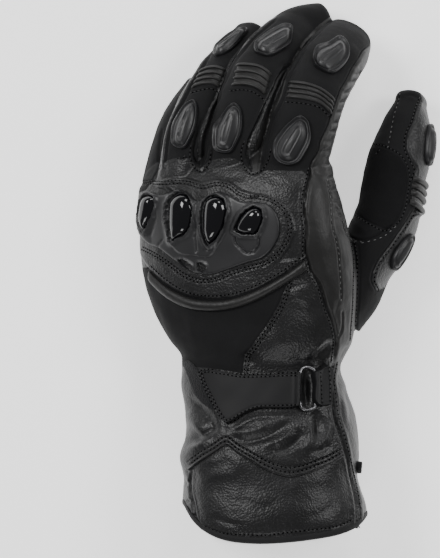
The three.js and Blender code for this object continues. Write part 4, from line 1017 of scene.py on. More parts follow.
for _ in range(6):  # no single faces stand out of the cut edge or are missing from it
    kept_at_edge = np.bincount(edge_number.ravel(), np.tile(kept, 4))
    kept_around = kept_at_edge[edge_number].sum(axis=0) - 4 * kept
    kept = np.where(kept_around >= 3, True, np.where(kept_around <= 1, False, kept))
THUMB_ISLAND = np.array([(98.5, 37.5), (90, 24), (85.5, 17.5), (79.5, 9.5), (77, 4.5), (76, -1), (78.5, -6),
    (82, -4.5), (88, 4), (97, 11.5), (102, 23.5), (102, 36.5)])
DOUBLE_SEAM = np.array([(66, 20.5), (67.5, 11.5), (67.5, -2.5), (67, -17), (66, -33)])
SECOND_FINISH = 100  # added to a panel's number where its second finish shows
panel_number = np.zeros(len(skin_faces), int)
for number, mask in enumerate(PANELS.values(), 1):
    panel_number[mask] = number
side_faces = face_turn < 0.05  # the leather sides of the cloth-backed fingers
finger_of = {name: PANELS[name + "_finger"] for name in STALL_NAMES[:4]}


def beyond(name, line, way):
    """A finger's faces right of a line (way 1) or left of it (way -1), beside the line only."""
    level_with = (face_up > line[:, 1].min()) & (face_up < line[:, 1].max() + 1)
    return finger_of[name] & level_with & ((face_right - right_of(line, face_up)) * way > 0)


FINGER_SIDES = [
    ("index", INDEX_SIDE_LINE, 1), ("index", INDEX_WELT, -1), ("middle", MIDDLE_WELT, -1),
    ("middle", MIDDLE_EDGE, 1), ("ring", RING_WELT, -1),
]
for name, line, way in FINGER_SIDES:
    side_faces |= beyond(name, line, way)
for mask in finger_of.values():
    panel_number[mask & side_faces] += SECOND_FINISH
thumb_leather = (face_right > right_of(THUMB_BACK_LINE, face_up)) & (face_up > 46)
thumb_leather |= inside(face_plan, THUMB_ISLAND) & on_top
matte_side = (face_right > right_of(DOUBLE_SEAM, face_up) + 1) & (face_up < 22) & (face_up > -40) & on_top
panel_number[PANELS["thumb"] & thumb_leather] += SECOND_FINISH
panel_number[(PANELS["side_panel"] | PANELS["hand_palm"]) & matte_side] += SECOND_FINISH
print({name: int((mask & kept).sum()) for name, mask in PANELS.items()})

# %% Bring the points between two panels exactly to their seam
smallest = np.full(len(skin_points), 999)
largest = np.zeros(len(skin_points), int)
for corner in range(4):
    np.minimum.at(smallest, skin_faces[:, corner], panel_number)
    np.maximum.at(largest, skin_faces[:, corner], panel_number)
between = np.nonzero((smallest != largest) & (soft_normals[:, 2] > 0.3))[0]
SEAM_LINES = [
    THUMB_BACK_LINE, DOUBLE_SEAM + np.array([1.0, 0.0]), THUMB_ISLAND[:7], MAIN_LINE, PATCH_LINE,
    SOFT_LINE, SIDE_LINE, CHEVRON_LINE, CUFF_LEFT_LINE, BASE_LINE, INDEX_SIDE_LINE, INDEX_WELT,
    MIDDLE_WELT, MIDDLE_EDGE, RING_WELT, THUMB_PATCH_LINE, *FINGER_GAPS, THUMB_REGION[:13], WRIST_LINE,
]
between_plan = plan_of(skin_points[between])
nearest_gap = np.full(len(between), 1e9)
moves = np.zeros((len(between), 2))
for line in SEAM_LINES:
    distance, _, share = along_line(between_plan, line)
    reach = lengths_along(line)
    spot = rows_at(share * reach[-1], reach, line)
    better = (distance < nearest_gap) & (distance < 1.6 * CELL)
    nearest_gap[better] = distance[better]
    moves[better] = (spot - between_plan)[better]
skin_points[between, :2] += moves
print("moved to their seams:", int((nearest_gap < 1e8).sum()), "of", len(between), "points")

# %% Bring the points of the cut edge exactly to the hem
kept_faces = skin_faces[kept]
edges = np.sort(np.concatenate([kept_faces[:, [i, (i + 1) % 4]] for i in range(4)]), axis=1)
pairs, uses = np.unique(edges, axis=0, return_counts=True)
rim_pairs = pairs[uses == 1]
rim = np.unique(rim_pairs)
rim_plan = plan_of(skin_points[rim])
shift_up = up_of(HEM_LINE, rim_plan[:, 0]) - rim_plan[:, 1]
skin_points[rim, 1] += np.clip(shift_up, -2, 2)
print("hem:", len(rim), "points")


def ordered_loop(pairs):
    """The longest closed loop through pairs of point numbers."""
    after = {}
    for a, b in pairs:
        after.setdefault(int(a), []).append(int(b))
        after.setdefault(int(b), []).append(int(a))
    best = []
    seen = set()
    for start in after:
        if start in seen:
            continue
        loop, last, now = [start], None, start
        seen.add(start)
        while True:
            step = [p for p in after[now] if p != last]
            step = [p for p in step if p not in seen or (p == start and len(loop) > 2)]
            if not step or step[0] == start:
                break
            last, now = now, step[0]
            seen.add(now)
            loop.append(now)
        if len(loop) > len(best):
            best = loop
    return best


def evened(loop, rounds):
    """A closed loop of points smoothed a number of times."""
    for _ in range(rounds):
        loop = (np.roll(loop, 1, axis=0) + 2 * loop + np.roll(loop, -1, axis=0)) / 4
    return loop


hem_loop = ordered_loop(rim_pairs)
skin_points[hem_loop] = evened(skin_points[hem_loop], 220)
print("hem loop:", len(hem_loop), "points")

# %% Panels with a wall
WALL = 1.7  # mm
UNDERSIDE = {"hand_palm": 0.35, "cuff_palm": 0.4, "thumb": 0.8, "index_finger": 0.9}
CLOTH_BACKS = {"index_finger", "middle_finger", "ring_finger", "little_finger"}


def finished(obj):
    """A mesh in millimetres becomes a mesh in metres, smooth except at its sharp edges."""
    points = mesh_points(obj.data) / 1000
    obj.data.vertices.foreach_set("co", points.ravel())
    obj.data.shade_smooth()
    obj.data.set_sharp_from_angle(angle=math.radians(50))
    obj.data.update()
    return obj


def add_piece(name, points, faces, materials, face_materials=None):
    mesh = bpy.data.meshes.new(name)
    mesh.from_pydata([tuple(p) for p in points], [], [tuple(int(i) for i in f) for f in faces])
    for material in materials:
        mesh.materials.append(material)
    if face_materials is not None:
        mesh.polygons.foreach_set("material_index", np.asarray(face_materials, np.int32))
    return new_object(name, mesh)


def with_wall(obj, wall, thin=None):
    """The same panel with a wall behind it, as a plain mesh."""
    if thin and thin < 1:
        fewer = obj.modifiers.new("fewer", "DECIMATE")
        fewer.ratio = thin
    solid = obj.modifiers.new("wall", "SOLIDIFY")
    solid.thickness = wall
    solid.offset = -1
    solid.material_offset = len(obj.data.materials) - 1
    solid.material_offset_rim = 0
    name = obj.name
    return new_object(name, plain_mesh(obj, name))


pieces = {}
PANEL_FINISH = {"softshell_panel": SOFTSHELL, "thumb_patch": SUEDE, "side_panel": SIDE_LEATHER}
for name, mask in PANELS.items():
    chosen = np.nonzero(mask & kept)[0]
    used, renumbered = np.unique(skin_faces[chosen], return_inverse=True)
    outer = PANEL_FINISH.get(name, LEATHER)
    materials = [outer, LINING]
    kinds = np.zeros(len(chosen), int)
    if name in CLOTH_BACKS:
        materials = [SOFTSHELL, SIDE_LEATHER if name == "index_finger" else LEATHER, LINING]
        kinds[side_faces[chosen]] = 1
    if name in ("thumb", "side_panel", "hand_palm"):
        materials = [SOFTSHELL, outer, LINING]
        kinds[:] = 1
        kinds[(~thumb_leather if name == "thumb" else matte_side)[chosen]] = 0
    panel = add_piece(name + "_look", skin_points[used], renumbered.reshape(-1, 4), materials, kinds)
    pieces[name] = finished(with_wall(panel, WALL, UNDERSIDE.get(name)))
print({name: len(obj.data.polygons) for name, obj in pieces.items()})

# %% [markdown]
# ## Pieces laid over the skin
# The guard, the pads, the strap and the rest lie on the leather, so each is drawn flat in plan
# and draped: a ray from the camera finds the leather under every point, and the piece rises from
# there by its own height. A closed bottom just under the leather makes each a solid body.

# %% Draping
base_points = relaxed(form_points, 10)
SKIN_FACE_LIST = [tuple(face) for face in skin_faces.tolist()]


def skin_tree_of(points):
    return BVHTree.FromPolygons([tuple(p) for p in points], SKIN_FACE_LIST)


base_tree = skin_tree_of(base_points)
skin_tree = skin_tree_of(skin_points)

raised_trees = {}


def raised_tree(rise):
    """The smooth skin grown outwards by a few millimetres, kept for later use."""
    if rise not in raised_trees:
        raised_trees[rise] = skin_tree_of(base_points + soft_normals * rise)
    return raised_trees[rise]


SIDE_START = 40.0  # mm above a finger's middle, where its rays start


def cast(starts, aims, tree):
    """Where rays meet a surface, and its normal there; the nearest place where they miss."""
    spots, normals = np.empty((len(starts), 3)), np.empty((len(starts), 3))
    for i, (start, aim) in enumerate(zip(starts, aims)):
        spot, normal, _, _ = tree.ray_cast(Vector(start), Vector(aim))
        if spot is None:
            far = CAMERA[2] - PLAN_HEIGHT if start[2] > 1000 else SIDE_START
            spot, normal, _, _ = tree.find_nearest(Vector(start + aim * far))
        spots[i], normals[i] = spot, normal
    return spots, normals


def drape_plan(points, tree=None):
    """Plan points brought down to the glove along the camera's rays."""
    aims = np.array([place(right, up, 0.0) - CAMERA for right, up in points])
    aims /= np.linalg.norm(aims, axis=1)[:, None]
    return cast(np.repeat(CAMERA[None], len(points), axis=0), aims, tree or base_tree)


def drape_stall(name):
    """Draping of (along, across) points on a finger, square to its path and against its back."""
    table = stall_tables[name]

    def drape(points, tree=None):
        row = rows_at(points[:, 0], table[:, 14], table)
        starts = row[:, 0:3] + row[:, 3:6] * points[:, 1:2] + row[:, 6:9] * SIDE_START
        return cast(starts, -row[:, 6:9], tree or base_tree)

    return drape


def drape_side(points, tree=None):
    """Draping of (up, height) points on the right side of the cuff, from the right."""
    starts = np.column_stack([np.full(len(points), 120.0), CAMERA[1] + points[:, 0], points[:, 1]])
    return cast(starts, np.tile([-1.0, 0.0, 0.0], (len(points), 1)), tree or base_tree)


def closed_curve(points, step):
    """A smooth closed curve through a few points, without the last repeated."""
    points = np.asarray(points, float)
    around = np.vstack([points[-2:], points, points[:3]])
    along = lengths_along(around)
    start, end = along[2], along[len(points) + 2]
    at = np.linspace(start, end, max(8, int((end - start) / step)) + 1)[:-1]
    return smooth_rows(along, around, at)


def drop_even(points, triangles, values, rounds):
    """Values smoothed over a triangle mesh."""
    pairs = np.concatenate([triangles[:, [0, 1]], triangles[:, [1, 2]], triangles[:, [2, 0]]])
    pairs = np.concatenate([pairs, pairs[:, ::-1]])
    count = np.maximum(np.bincount(pairs[:, 0], minlength=len(points)), 1)[:, None]
    for _ in range(rounds):
        middle = np.column_stack([
            np.bincount(pairs[:, 0], values[pairs[:, 1], k], len(points)) for k in range(3)
        ])
        values = values * 0.4 + middle / count * 0.6
    return values


def solid_over(name, flat, triangles, height, materials, drape, sink=0.6, even=6, rise=0.0):
    """A solid that rises from the leather by a height at every flat point.

    Flat points are laid out as seen at a rise above the leather, where the piece's top is.
    """
    base, normals = drape(flat, raised_tree(rise))
    base = base - normals * rise
    normals = drop_even(flat, triangles, normals, even + 6)
    normals /= np.linalg.norm(normals, axis=1)[:, None]
    base = drop_even(flat, triangles, base, even)
    top = base + normals * height[:, None]
    bottom = base - normals * sink
    a, b, c = (top[triangles[:, k]] for k in range(3))
    turned_over = np.einsum("ij,ij->i", np.cross(b - a, c - a), normals[triangles[:, 0]]).sum() < 0
    if turned_over:
        triangles = triangles[:, ::-1]
    sides = {}
    for triangle in triangles:
        for k in range(3):
            sides[(int(triangle[k]), int(triangle[(k + 1) % 3]))] = True
    count = len(flat)
    walls = [(b, a, a + count, b + count) for a, b in sides if (b, a) not in sides]
    faces = [tuple(t) for t in triangles] + [tuple(t + count)[::-1] for t in triangles] + walls
    piece = add_piece(name, np.vstack([top, bottom]), faces, materials)
    return finished(piece)


def flat_mesh(outline, cell, loops=()):
    """Triangles that fill an outline, with a point about every cell, and each point's edge distance.

    Extra loops are points that the triangles must use, so that a step in the height stays crisp.
    """
    rim = closed_curve(outline, cell)
    low, high = rim.min(axis=0), rim.max(axis=0)
    rights, ups = np.arange(low[0], high[0], cell), np.arange(low[1], high[1], cell * 0.87)
    grid = np.stack(np.meshgrid(rights, ups), axis=-1)
    grid[1::2, :, 0] += cell / 2
    grid = grid.reshape(-1, 2)
    grid = grid[inside(grid, rim)]
    closed_rim = np.vstack([rim, rim[:1]])
    grid = grid[along_line(grid, closed_rim)[0] > cell * 0.55]
    extra = np.vstack(loops) if len(loops) else np.zeros((0, 2))
    if len(extra):
        extra = extra[inside(extra, rim)]
        extra = extra[along_line(extra, closed_rim)[0] > 0.25]
        gap = np.sqrt(((grid[:, None] - extra[None]) ** 2).sum(axis=2)).min(axis=1)
        grid = grid[gap > cell * 0.6]
    points = [Vector(p) for p in np.vstack([rim, extra, grid])]
    ring = [(i, (i + 1) % len(rim)) for i in range(len(rim))]
    found = delaunay_2d_cdt(points, ring, [], 1, 1e-5)
    flat = np.array([tuple(v) for v in found[0]])
    triangles = np.array([f for f in found[2] if len(f) == 3], int)
    return flat, triangles, along_line(flat, closed_rim)[0]


def offset_loop(outline, offset, step):
    """A closed curve moved outwards, or inwards where the offset is negative."""
    loop = closed_curve(outline, step)
    ahead = np.roll(loop, -1, axis=0) - np.roll(loop, 1, axis=0)
    out = np.column_stack([ahead[:, 1], -ahead[:, 0]])
    out /= np.linalg.norm(out, axis=1)[:, None]
    if inside(loop[:1] + out[:1] * 0.05, loop)[0]:
        out = -out
    return loop + out * offset


def shield_mesh(outline, spine, shares, step):
    """Rings that shrink from an outline to a spine, with each point's share of the way out."""
    rim = closed_curve(outline, step)
    reached = along_line(rim, spine)[2]
    centre = spine[0] + reached[:, None] * (spine[1] - spine[0])
    rings = [centre + (rim - centre) * share for share in shares]
    flat = np.vstack(rings + [spine.mean(axis=0)[None]])
    count = len(rim)
    triangles = []
    for r in range(len(shares) - 1):
        for i in range(count):
            j = (i + 1) % count
            a, b, c, d = r * count + i, r * count + j, (r + 1) * count + j, (r + 1) * count + i
            triangles += [(a, b, c), (a, c, d)]
    last = (len(shares) - 1) * count
    triangles += [(last + i, last + (i + 1) % count, len(flat) - 1) for i in range(count)]
    return flat, np.array(triangles), np.append(np.repeat(shares, count), 0.0)


def spine_of(outline, reach):
    """A short line along an outline's length, through its middle."""
    middle = outline.mean(axis=0)
    axes = np.linalg.svd(outline - middle)[2]
    half = np.abs((outline - middle) @ axes[0]).max() * reach
    return np.array([middle - axes[0] * half, middle + axes[0] * half])


def domed(distance, width, height, power=2.0):
    """A rounded edge: the height rises over a width and then stays level."""
    share = np.clip(distance / width, 0, 1)
    return height * (1 - (1 - share) ** power) ** (1 / power)


def band_mesh(lower, upper, along_cells, across_cells):
    """A flat band between two lines, with the share along and across at each point."""

    def spread(line):
        line = curve_line(line, 0.4)
        reach = lengths_along(line)
        return rows_at(np.linspace(0, reach[-1], along_cells + 1), reach, line)

    low, high = spread(lower), spread(upper)
    t = np.linspace(0, 1, across_cells + 1)
    flat = (low[:, None] * (1 - t)[None, :, None] + high[:, None] * t[None, :, None]).reshape(-1, 2)
    s = np.repeat(np.linspace(0, 1, along_cells + 1), across_cells + 1)
    cells = np.arange(along_cells)[:, None] * (across_cells + 1) + np.arange(across_cells)[None]
    a = cells.ravel()
    triangles = np.concatenate([
        np.column_stack([a, a + across_cells + 1, a + 1]),
        np.column_stack([a + 1, a + across_cells + 1, a + across_cells + 2]),
    ])
    return flat, triangles, s, np.tile(t, along_cells + 1)


FINE = 0.55
print("draping ready")

# %% [markdown]
# ## The knuckle guard
# One plate is moulded over the knuckles with four pockets, and a gloss shell sits in each. The
# plate's edge is rounded down to the leather, a raised rim runs round every shell, and two vents
# are sunk below the middle shells.

# %% The guard's plate
GUARD_OUTLINE = np.array([(-40.5, 41), (-38, 44.5), (-34.5, 44.5), (-31, 43), (-26.5, 44), (-21, 46),
    (-16, 44), (-11, 40), (-6.5, 42.5), (-0.5, 45), (4.5, 43), (10, 40), (17, 39.5), (23.5, 38.5),
    (28.5, 34), (30.5, 28), (30, 21), (27, 15), (22, 10), (13, 7), (4.5, 4), (-3.5, 1.5), (-10.5, 1.5),
    (-17, 4), (-25, 9.5), (-31.5, 14.5), (-37, 17), (-40.5, 21.5), (-42, 33.5)])
DOMES = [
    np.array([(-40, 36.5), (-39, 40), (-36.5, 42.5), (-33.5, 41.5), (-33, 37.5), (-34.5, 31.5),
        (-36.5, 26.5), (-38, 23), (-39.5, 26.5), (-40.5, 32)]),
    np.array([(-27, 32.5), (-26.5, 37.5), (-24, 41.5), (-20, 43.5), (-16, 42), (-14, 37.5), (-14, 31),
        (-15, 25.5), (-17.5, 22), (-21, 20.5), (-24.5, 18), (-26, 23.5)]),
    np.array([(-9.5, 34), (-8, 39), (-5, 41.5), (-1.5, 42), (2, 40), (3.5, 35.5), (3, 30), (1, 24),
        (-2.5, 19), (-6, 16.5), (-8.5, 21), (-9.5, 28)]),
    np.array([(7, 24.5), (8, 28.5), (10.5, 32.5), (13.5, 35), (17, 36.5), (20.5, 35), (21.5, 31.5),
        (20.5, 26.5), (18, 22.5), (14, 22), (10, 22.5)]),
]
PLATEAU = np.array([(-28.5, 36.5), (-26.5, 42), (-21, 45), (-15.5, 43.5), (-11.5, 38), (-7.5, 41.5),
    (-2, 43.5), (3.5, 41), (5, 34.5), (3.5, 26.5), (-0.5, 17.5), (-5.5, 11), (-13, 11.5), (-21, 13),
    (-25, 17.5), (-27.5, 25.5)])
RECESSES = [
    ([(-21.5, 10), (-18, 9.5), (-14, 6), (-15, 4), (-19.5, 6.5)], 1.5),
    ([(-11.5, 8), (-7, 7), (-8.5, 3), (-11, 4)], 1.3),
]
GUARD_LINES = [  # narrow grooves in the plate: line, width, depth
    ([(7, 21.5), (8, 18), (10.5, 15), (13.5, 13), (16.5, 13.5), (19, 16.5), (19.5, 21)], 1.1, 0.7),
    ([(-13.5, 35.5), (-12.5, 28.5), (-12, 20.5), (-11.5, 13.5)], 0.9, 0.5),
    ([(-10, 29.5), (-9.5, 23.5), (-8, 17.5), (-6, 14.5)], 0.9, 0.5),
    ([(-32, 37.5), (-32.5, 30.5), (-35, 21.5)], 0.9, 0.4),
    ([(-29, 19.5), (-31, 16.5), (-32, 14.5)], 0.8, 0.3),
]
guide_loops = [offset_loop(dome, offset, 0.6) for dome in DOMES for offset in (-0.5, 0.0, 0.5, 1.0, 1.6)]
guide_loops += [offset_loop(outline, offset, 0.6) for outline, _ in RECESSES for offset in (-0.7, 0.0, 0.5)]
guide_loops += [offset_loop(PLATEAU, offset, 0.7) for offset in (-0.8, 0.0)]
for line, width, _ in GUARD_LINES:
    guide_loops += [beside(line, offset, 0.6) for offset in (-width / 2, 0.0, width / 2)]
flat, triangles, edge = flat_mesh(GUARD_OUTLINE, FINE, guide_loops)
height = domed(edge, 2.2, 2.2)
rim = closed_curve(PLATEAU, 0.4)
distance, _, _ = along_line(flat, np.vstack([rim, rim[:1]]))
height += inside(flat, rim) * np.clip(distance / 0.8, 0, 1) * 0.7
for line, width, depth in GUARD_LINES:
    distance, _, _ = along_line(flat, curve_line(line, 0.5))
    height -= depth * np.exp(-((distance / (width / 2)) ** 2))
for dome in DOMES:
    rim = closed_curve(dome, 0.4)
    distance, _, _ = along_line(flat, np.vstack([rim, rim[:1]]))
    within = inside(flat, rim)
    raised_rim = 0.9 * np.exp(-(((distance - 0.5) / 1.1) ** 2))
    height += np.where(within, -0.8 * np.clip(distance / 0.5, 0, 1), raised_rim)
for outline, depth in RECESSES:
    rim = closed_curve(outline, 0.4)
    distance, _, _ = along_line(flat, np.vstack([rim, rim[:1]]))
    within = inside(flat, rim)
    height -= np.where(within, np.clip(distance / 0.7, 0, 1) * depth, 0)
    height += 0.4 * np.exp(-((distance / 0.7) ** 2)) * ~within
left_end = np.clip((-34.5 - flat[:, 0]) / 4, 0, 1)  # the plate stands out at its left end
height += 1.2 * left_end * np.clip(edge / 1.5, 0, 1)
height = np.maximum(height, 0.1)
pieces["knuckle_guard"] = solid_over("knuckle_guard_look", flat, triangles, height, [MOULDING], drape_plan,
                                     even=12, rise=2.4)

# %% The four gloss shells
DOME_HEIGHTS = [6.0, 5.8, 6.0, 5.4]
DOME_SHARES = [1.0, 0.99, 0.97, 0.94, 0.90, 0.84, 0.76, 0.67, 0.57, 0.46, 0.35, 0.23, 0.1]
for number, (outline, top) in enumerate(zip(DOMES, DOME_HEIGHTS), 1):
    flat, triangles, share = shield_mesh(outline, spine_of(outline, 0.4), DOME_SHARES, 0.5)
    height = 1.2 + (top - 1.2) * (1 - share ** 2.2) ** 0.72
    pieces[f"knuckle_dome_{number}"] = solid_over(
        f"knuckle_dome_{number}_look", flat, triangles, height, [GLOSS], drape_plan, even=14, rise=3.0)
print("guard plate and", len(DOMES), "shells")

# %% [markdown]
# ## Finger pads
# Each pad is a small moulded shield: a rounded rim, a groove inside it and a raised spine that
# points along the finger. The profile is a row of heights by the distance from the middle.

# %% Pads
PAD_SHARES = [1.0, 0.97, 0.93, 0.88, 0.82, 0.76, 0.72, 0.68, 0.63, 0.58, 0.50, 0.40, 0.30, 0.22, 0.18, 0.12,
              0.06]
PAD_HEIGHTS = [0.4, 1.3, 1.8, 2.0, 1.8, 1.1, 0.8, 0.8, 1.3, 1.7, 2.0, 2.3, 2.6, 2.8, 2.45, 2.6, 2.9]
PADS = {
    "index_pad_tip": np.array([(60.5, 122.5), (64, 119.5), (65, 111), (62, 106), (57, 103), (52, 104.5),
        (47, 108), (46, 111), (48, 117.5), (53.5, 119)]),
    "index_pad_base": np.array([(40.5, 82.5), (44, 80), (45.5, 75), (45.5, 68), (43, 63), (39.5, 58),
        (33.5, 56.5), (28, 59), (26, 62.5), (26.5, 70), (29.5, 74), (34.5, 79)]),
    "middle_pad_tip": np.array([(16.5, 115), (20.5, 112.5), (26.5, 112), (31.5, 114.5), (35.5, 117.5),
        (36.5, 122.5), (36.5, 127.5), (33, 128.5), (26.5, 126), (20, 121.5), (17, 119)]),
    "middle_pad_base": np.array([(7, 89), (10, 86.5), (11.5, 79.5), (11, 73), (8.5, 67.5), (5.5, 63),
        (1.5, 62.5), (-3.5, 64.5), (-4.5, 71), (-4.5, 76), (0, 81.5), (4.5, 87.5)]),
    "ring_pad_tip": np.array([(-4, 112.5), (1.5, 113), (7, 116), (11.5, 121), (14, 126), (11.5, 126.5),
        (6, 124.5), (0, 120), (-3.5, 116)]),
    "ring_pad_base": np.array([(-13, 90.5), (-11.5, 88), (-11, 82.5), (-12, 75), (-15, 69), (-18, 65),
        (-20.5, 65), (-24.5, 67.5), (-25, 73), (-24.5, 77.5), (-21.5, 83), (-16.5, 89)]),
}


def pad_height(share):
    """Rim, groove and spear: the share is 0 on the spine and 1 at the outline."""
    return np.interp(share, PAD_SHARES[::-1], PAD_HEIGHTS[::-1])


for name, outline in PADS.items():
    flat, triangles, share = shield_mesh(outline, spine_of(outline, 0.5), PAD_SHARES, 0.5)
    pieces[name] = solid_over(name + "_look", flat, triangles, pad_height(share), [MOULDING], drape_plan,
                              even=10, rise=1.6)


def along_at(name, up):
    """How far along a finger its middle has a plan height."""
    table = stall_tables[name]
    middles = plan_of(table[:, 0:3])
    return float(table[np.abs(middles[:, 1] - up).argmin(), 14])


THUMB_PADS = {"thumb_pad_tip": (68.5, 10.5, 6.5), "thumb_pad_base": (18.0, 10.0, 7.0)}
for name, (up, half_length, half_width) in THUMB_PADS.items():
    middle = along_at("thumb", up)
    angles = np.linspace(0, 2 * math.pi, 13)[:-1]
    outline = np.column_stack([middle + np.cos(angles) * half_length, np.sin(angles) * half_width])
    flat, triangles, share = shield_mesh(outline, spine_of(outline, 0.5), PAD_SHARES, 0.5)
    pieces[name] = solid_over(name + "_look", flat, triangles, pad_height(share), [MOULDING],
                              drape_stall("thumb"), even=10)
print(len(PADS) + len(THUMB_PADS), "pads")

# %% [markdown]
# ## Stretch ribs
# Over each finger joint a panel with four round ribs lets the finger bend. Geometry Nodes sweep a
# round section along one line for each rib, and the rows are joined to a thin plate below them.

# %% Ribs
RIBS = {
    "index_ribs": ([(33, 90), (43, 89), (50, 87), (55.5, 82)],
                   [(34.5, 99.5), (43, 98.5), (49, 96.5), (57.5, 90.5)]),
    "middle_ribs": ([(5.5, 95.5), (12, 96), (17.5, 94.5), (22.5, 91)],
                    [(8.5, 108.5), (15, 108.5), (20.5, 107.5), (26, 103.5)]),
    "ring_ribs": ([(-14.5, 94.5), (-9, 96.5), (-4, 96.5), (0, 94.5)],
                  [(-10, 104.5), (-5.5, 106.5), (-1, 107), (3, 105.5)]),
}


def rib_tree(material):
    """Curves in, ribs out: each edge line becomes a curve and then a round closed rod."""
    tree = bpy.data.node_groups.new("rib_rows", "GeometryNodeTree")
    face = tree.interface
    face.new_socket(name="Geometry", in_out="INPUT", socket_type="NodeSocketGeometry")
    face.new_socket(name="Radius", in_out="INPUT", socket_type="NodeSocketFloat").default_value = 0.0008
    face.new_socket(name="Geometry", in_out="OUTPUT", socket_type="NodeSocketGeometry")
    nodes, wires = tree.nodes, tree.links
    start, end = nodes.new("NodeGroupInput"), nodes.new("NodeGroupOutput")
    curve = nodes.new("GeometryNodeMeshToCurve")
    section = nodes.new("GeometryNodeCurvePrimitiveCircle")
    section.inputs["Resolution"].default_value = 12
    sweep = nodes.new("GeometryNodeCurveToMesh")
    sweep.inputs["Fill Caps"].default_value = True
    real = nodes.new("GeometryNodeRealizeInstances")
    paint = nodes.new("GeometryNodeSetMaterial")
    paint.inputs["Material"].default_value = material
    wires.new(start.outputs["Geometry"], curve.inputs["Mesh"])
    wires.new(start.outputs["Radius"], section.inputs["Radius"])
    wires.new(curve.outputs["Curve"], sweep.inputs["Curve"])
    wires.new(section.outputs["Curve"], sweep.inputs["Profile Curve"])
    wires.new(sweep.outputs["Mesh"], real.inputs["Geometry"])
    wires.new(real.outputs["Geometry"], paint.inputs["Geometry"])
    wires.new(paint.outputs["Geometry"], end.inputs["Geometry"])
    return tree


def input_names(tree):
    """The identifier of each input of a node tree, by the input's name."""
    return {item.name: item.identifier for item in tree.interface.items_tree if item.in_out == "INPUT"}


RIB_TREE = rib_tree(SIDE_LEATHER)


RIB_STEPS = 24  # along each rib


def ribbed(name, lower, upper, drape, radius, count=4):
    """A thin plate between two lines with a row of ribs across it."""
    flat, triangles, s, t = band_mesh(lower, upper, RIB_STEPS, count * 2)
    edge = np.clip(np.minimum(s, 1 - s) / 0.06, 0.2, 1) * np.clip(np.minimum(t, 1 - t) / 0.1, 0.2, 1)
    plate = solid_over(name + "_plate", flat, triangles, 0.45 * edge, [SIDE_LEATHER], drape, even=2)
    spots, normals = drape(flat)
    spots, normals = (v.reshape(RIB_STEPS + 1, count * 2 + 1, 3)[:, 1::2] for v in (spots, normals))
    share = np.linspace(0, 1, RIB_STEPS + 1)
    dip = np.clip(np.minimum(share, share[::-1]) / 0.1, 0, 1) ** 0.5
    rows = spots + normals * (0.45 - 1.1 * (1 - dip))[:, None, None]
    lines = [tuple(p / 1000) for k in range(count) for p in rows[:, k]]
    firsts = [(RIB_STEPS + 1) * k + i for k in range(count) for i in range(RIB_STEPS)]
    links_along = [(first, first + 1) for first in firsts]
    mesh = bpy.data.meshes.new(name + "_rows")
    mesh.from_pydata(lines, links_along, [])
    holder = new_object(name + "_rows", mesh)
    nodes = holder.modifiers.new("ribs", "NODES")
    nodes.node_group = RIB_TREE
    sockets = input_names(RIB_TREE)
    nodes[sockets["Radius"]] = radius / 1000
    swept = plain_mesh(holder, name + "_swept")
    joined = bmesh.new()
    for part in (plate.data, swept):
        joined.from_mesh(part)
    whole = bpy.data.meshes.new(name + "_look")
    joined.to_mesh(whole)
    joined.free()
    bpy.data.objects.remove(plate)
    whole.materials.append(SIDE_LEATHER)
    whole.polygons.foreach_set("material_index", np.zeros(len(whole.polygons), np.int32))
    whole.shade_smooth()
    whole.set_sharp_from_angle(angle=math.radians(50))
    return new_object(name + "_look", whole)


for name, (lower, upper) in RIBS.items():
    pieces[name] = ribbed(name, lower, upper, drape_plan, radius=0.85)
low_end, high_end = along_at("thumb", 35.0), along_at("thumb", 52.0)
pieces["thumb_ribs"] = ribbed(
    "thumb_ribs", [(low_end, -10), (low_end - 0.5, 0), (low_end, 9)],
    [(high_end, -10), (high_end + 0.5, 0), (high_end, 9)], drape_stall("thumb"), radius=1.6)
print(len(RIBS) + 1, "rib panels")

# %% [markdown]
# ## The padded roll
# Under the doubled leather a soft roll crosses the back of the hand. It is a filled tube, pinched
# at both edges by its seams, with small puckers where the filling pulls at the thread. A cloth
# simulation could fill it, but it is so narrow and tight that waves in its height do the same.

# %% Roll
ROLL_TOP = np.array([(-35.5, 5), (-29.5, -1), (-22.5, -6), (-14.5, -9.5), (-4.5, -10.75), (6, -9.75),
    (17, -6), (24, -2.5), (31, 1.5), (43, 10)])
ROLL_FOOT = np.array([(-35.5, -0.5), (-28, -8), (-19, -13.5), (-6, -16), (8, -14.5), (19, -10.5),
    (26.5, -6.5), (33, -2.5), (40, 2), (44.5, 5)])
flat, triangles, s, t = band_mesh(ROLL_FOOT, ROLL_TOP, 150, 22)
puckers = 1 + 0.05 * np.sin(s * 170) * (1 - np.sin(math.pi * t)) + 0.04 * np.sin(s * 41 + 2)
height = 0.25 + 2.2 * np.sin(math.pi * np.clip(t, 0, 1)) ** 0.45 * puckers
height *= np.clip(np.minimum(s, 1 - s) / 0.03, 0, 1) ** 0.4
pieces["knuckle_roll"] = solid_over("knuckle_roll_look", flat, triangles, height, [SIDE_LEATHER],
                                    drape_plan, even=4)

# %% [markdown]
# ## The chevron band
# Below the puckers a doubled band of leather follows the cuff's zigzag seam. It has a piped foot
# and two stitched channels, so its height is written as a profile from its foot to its top.

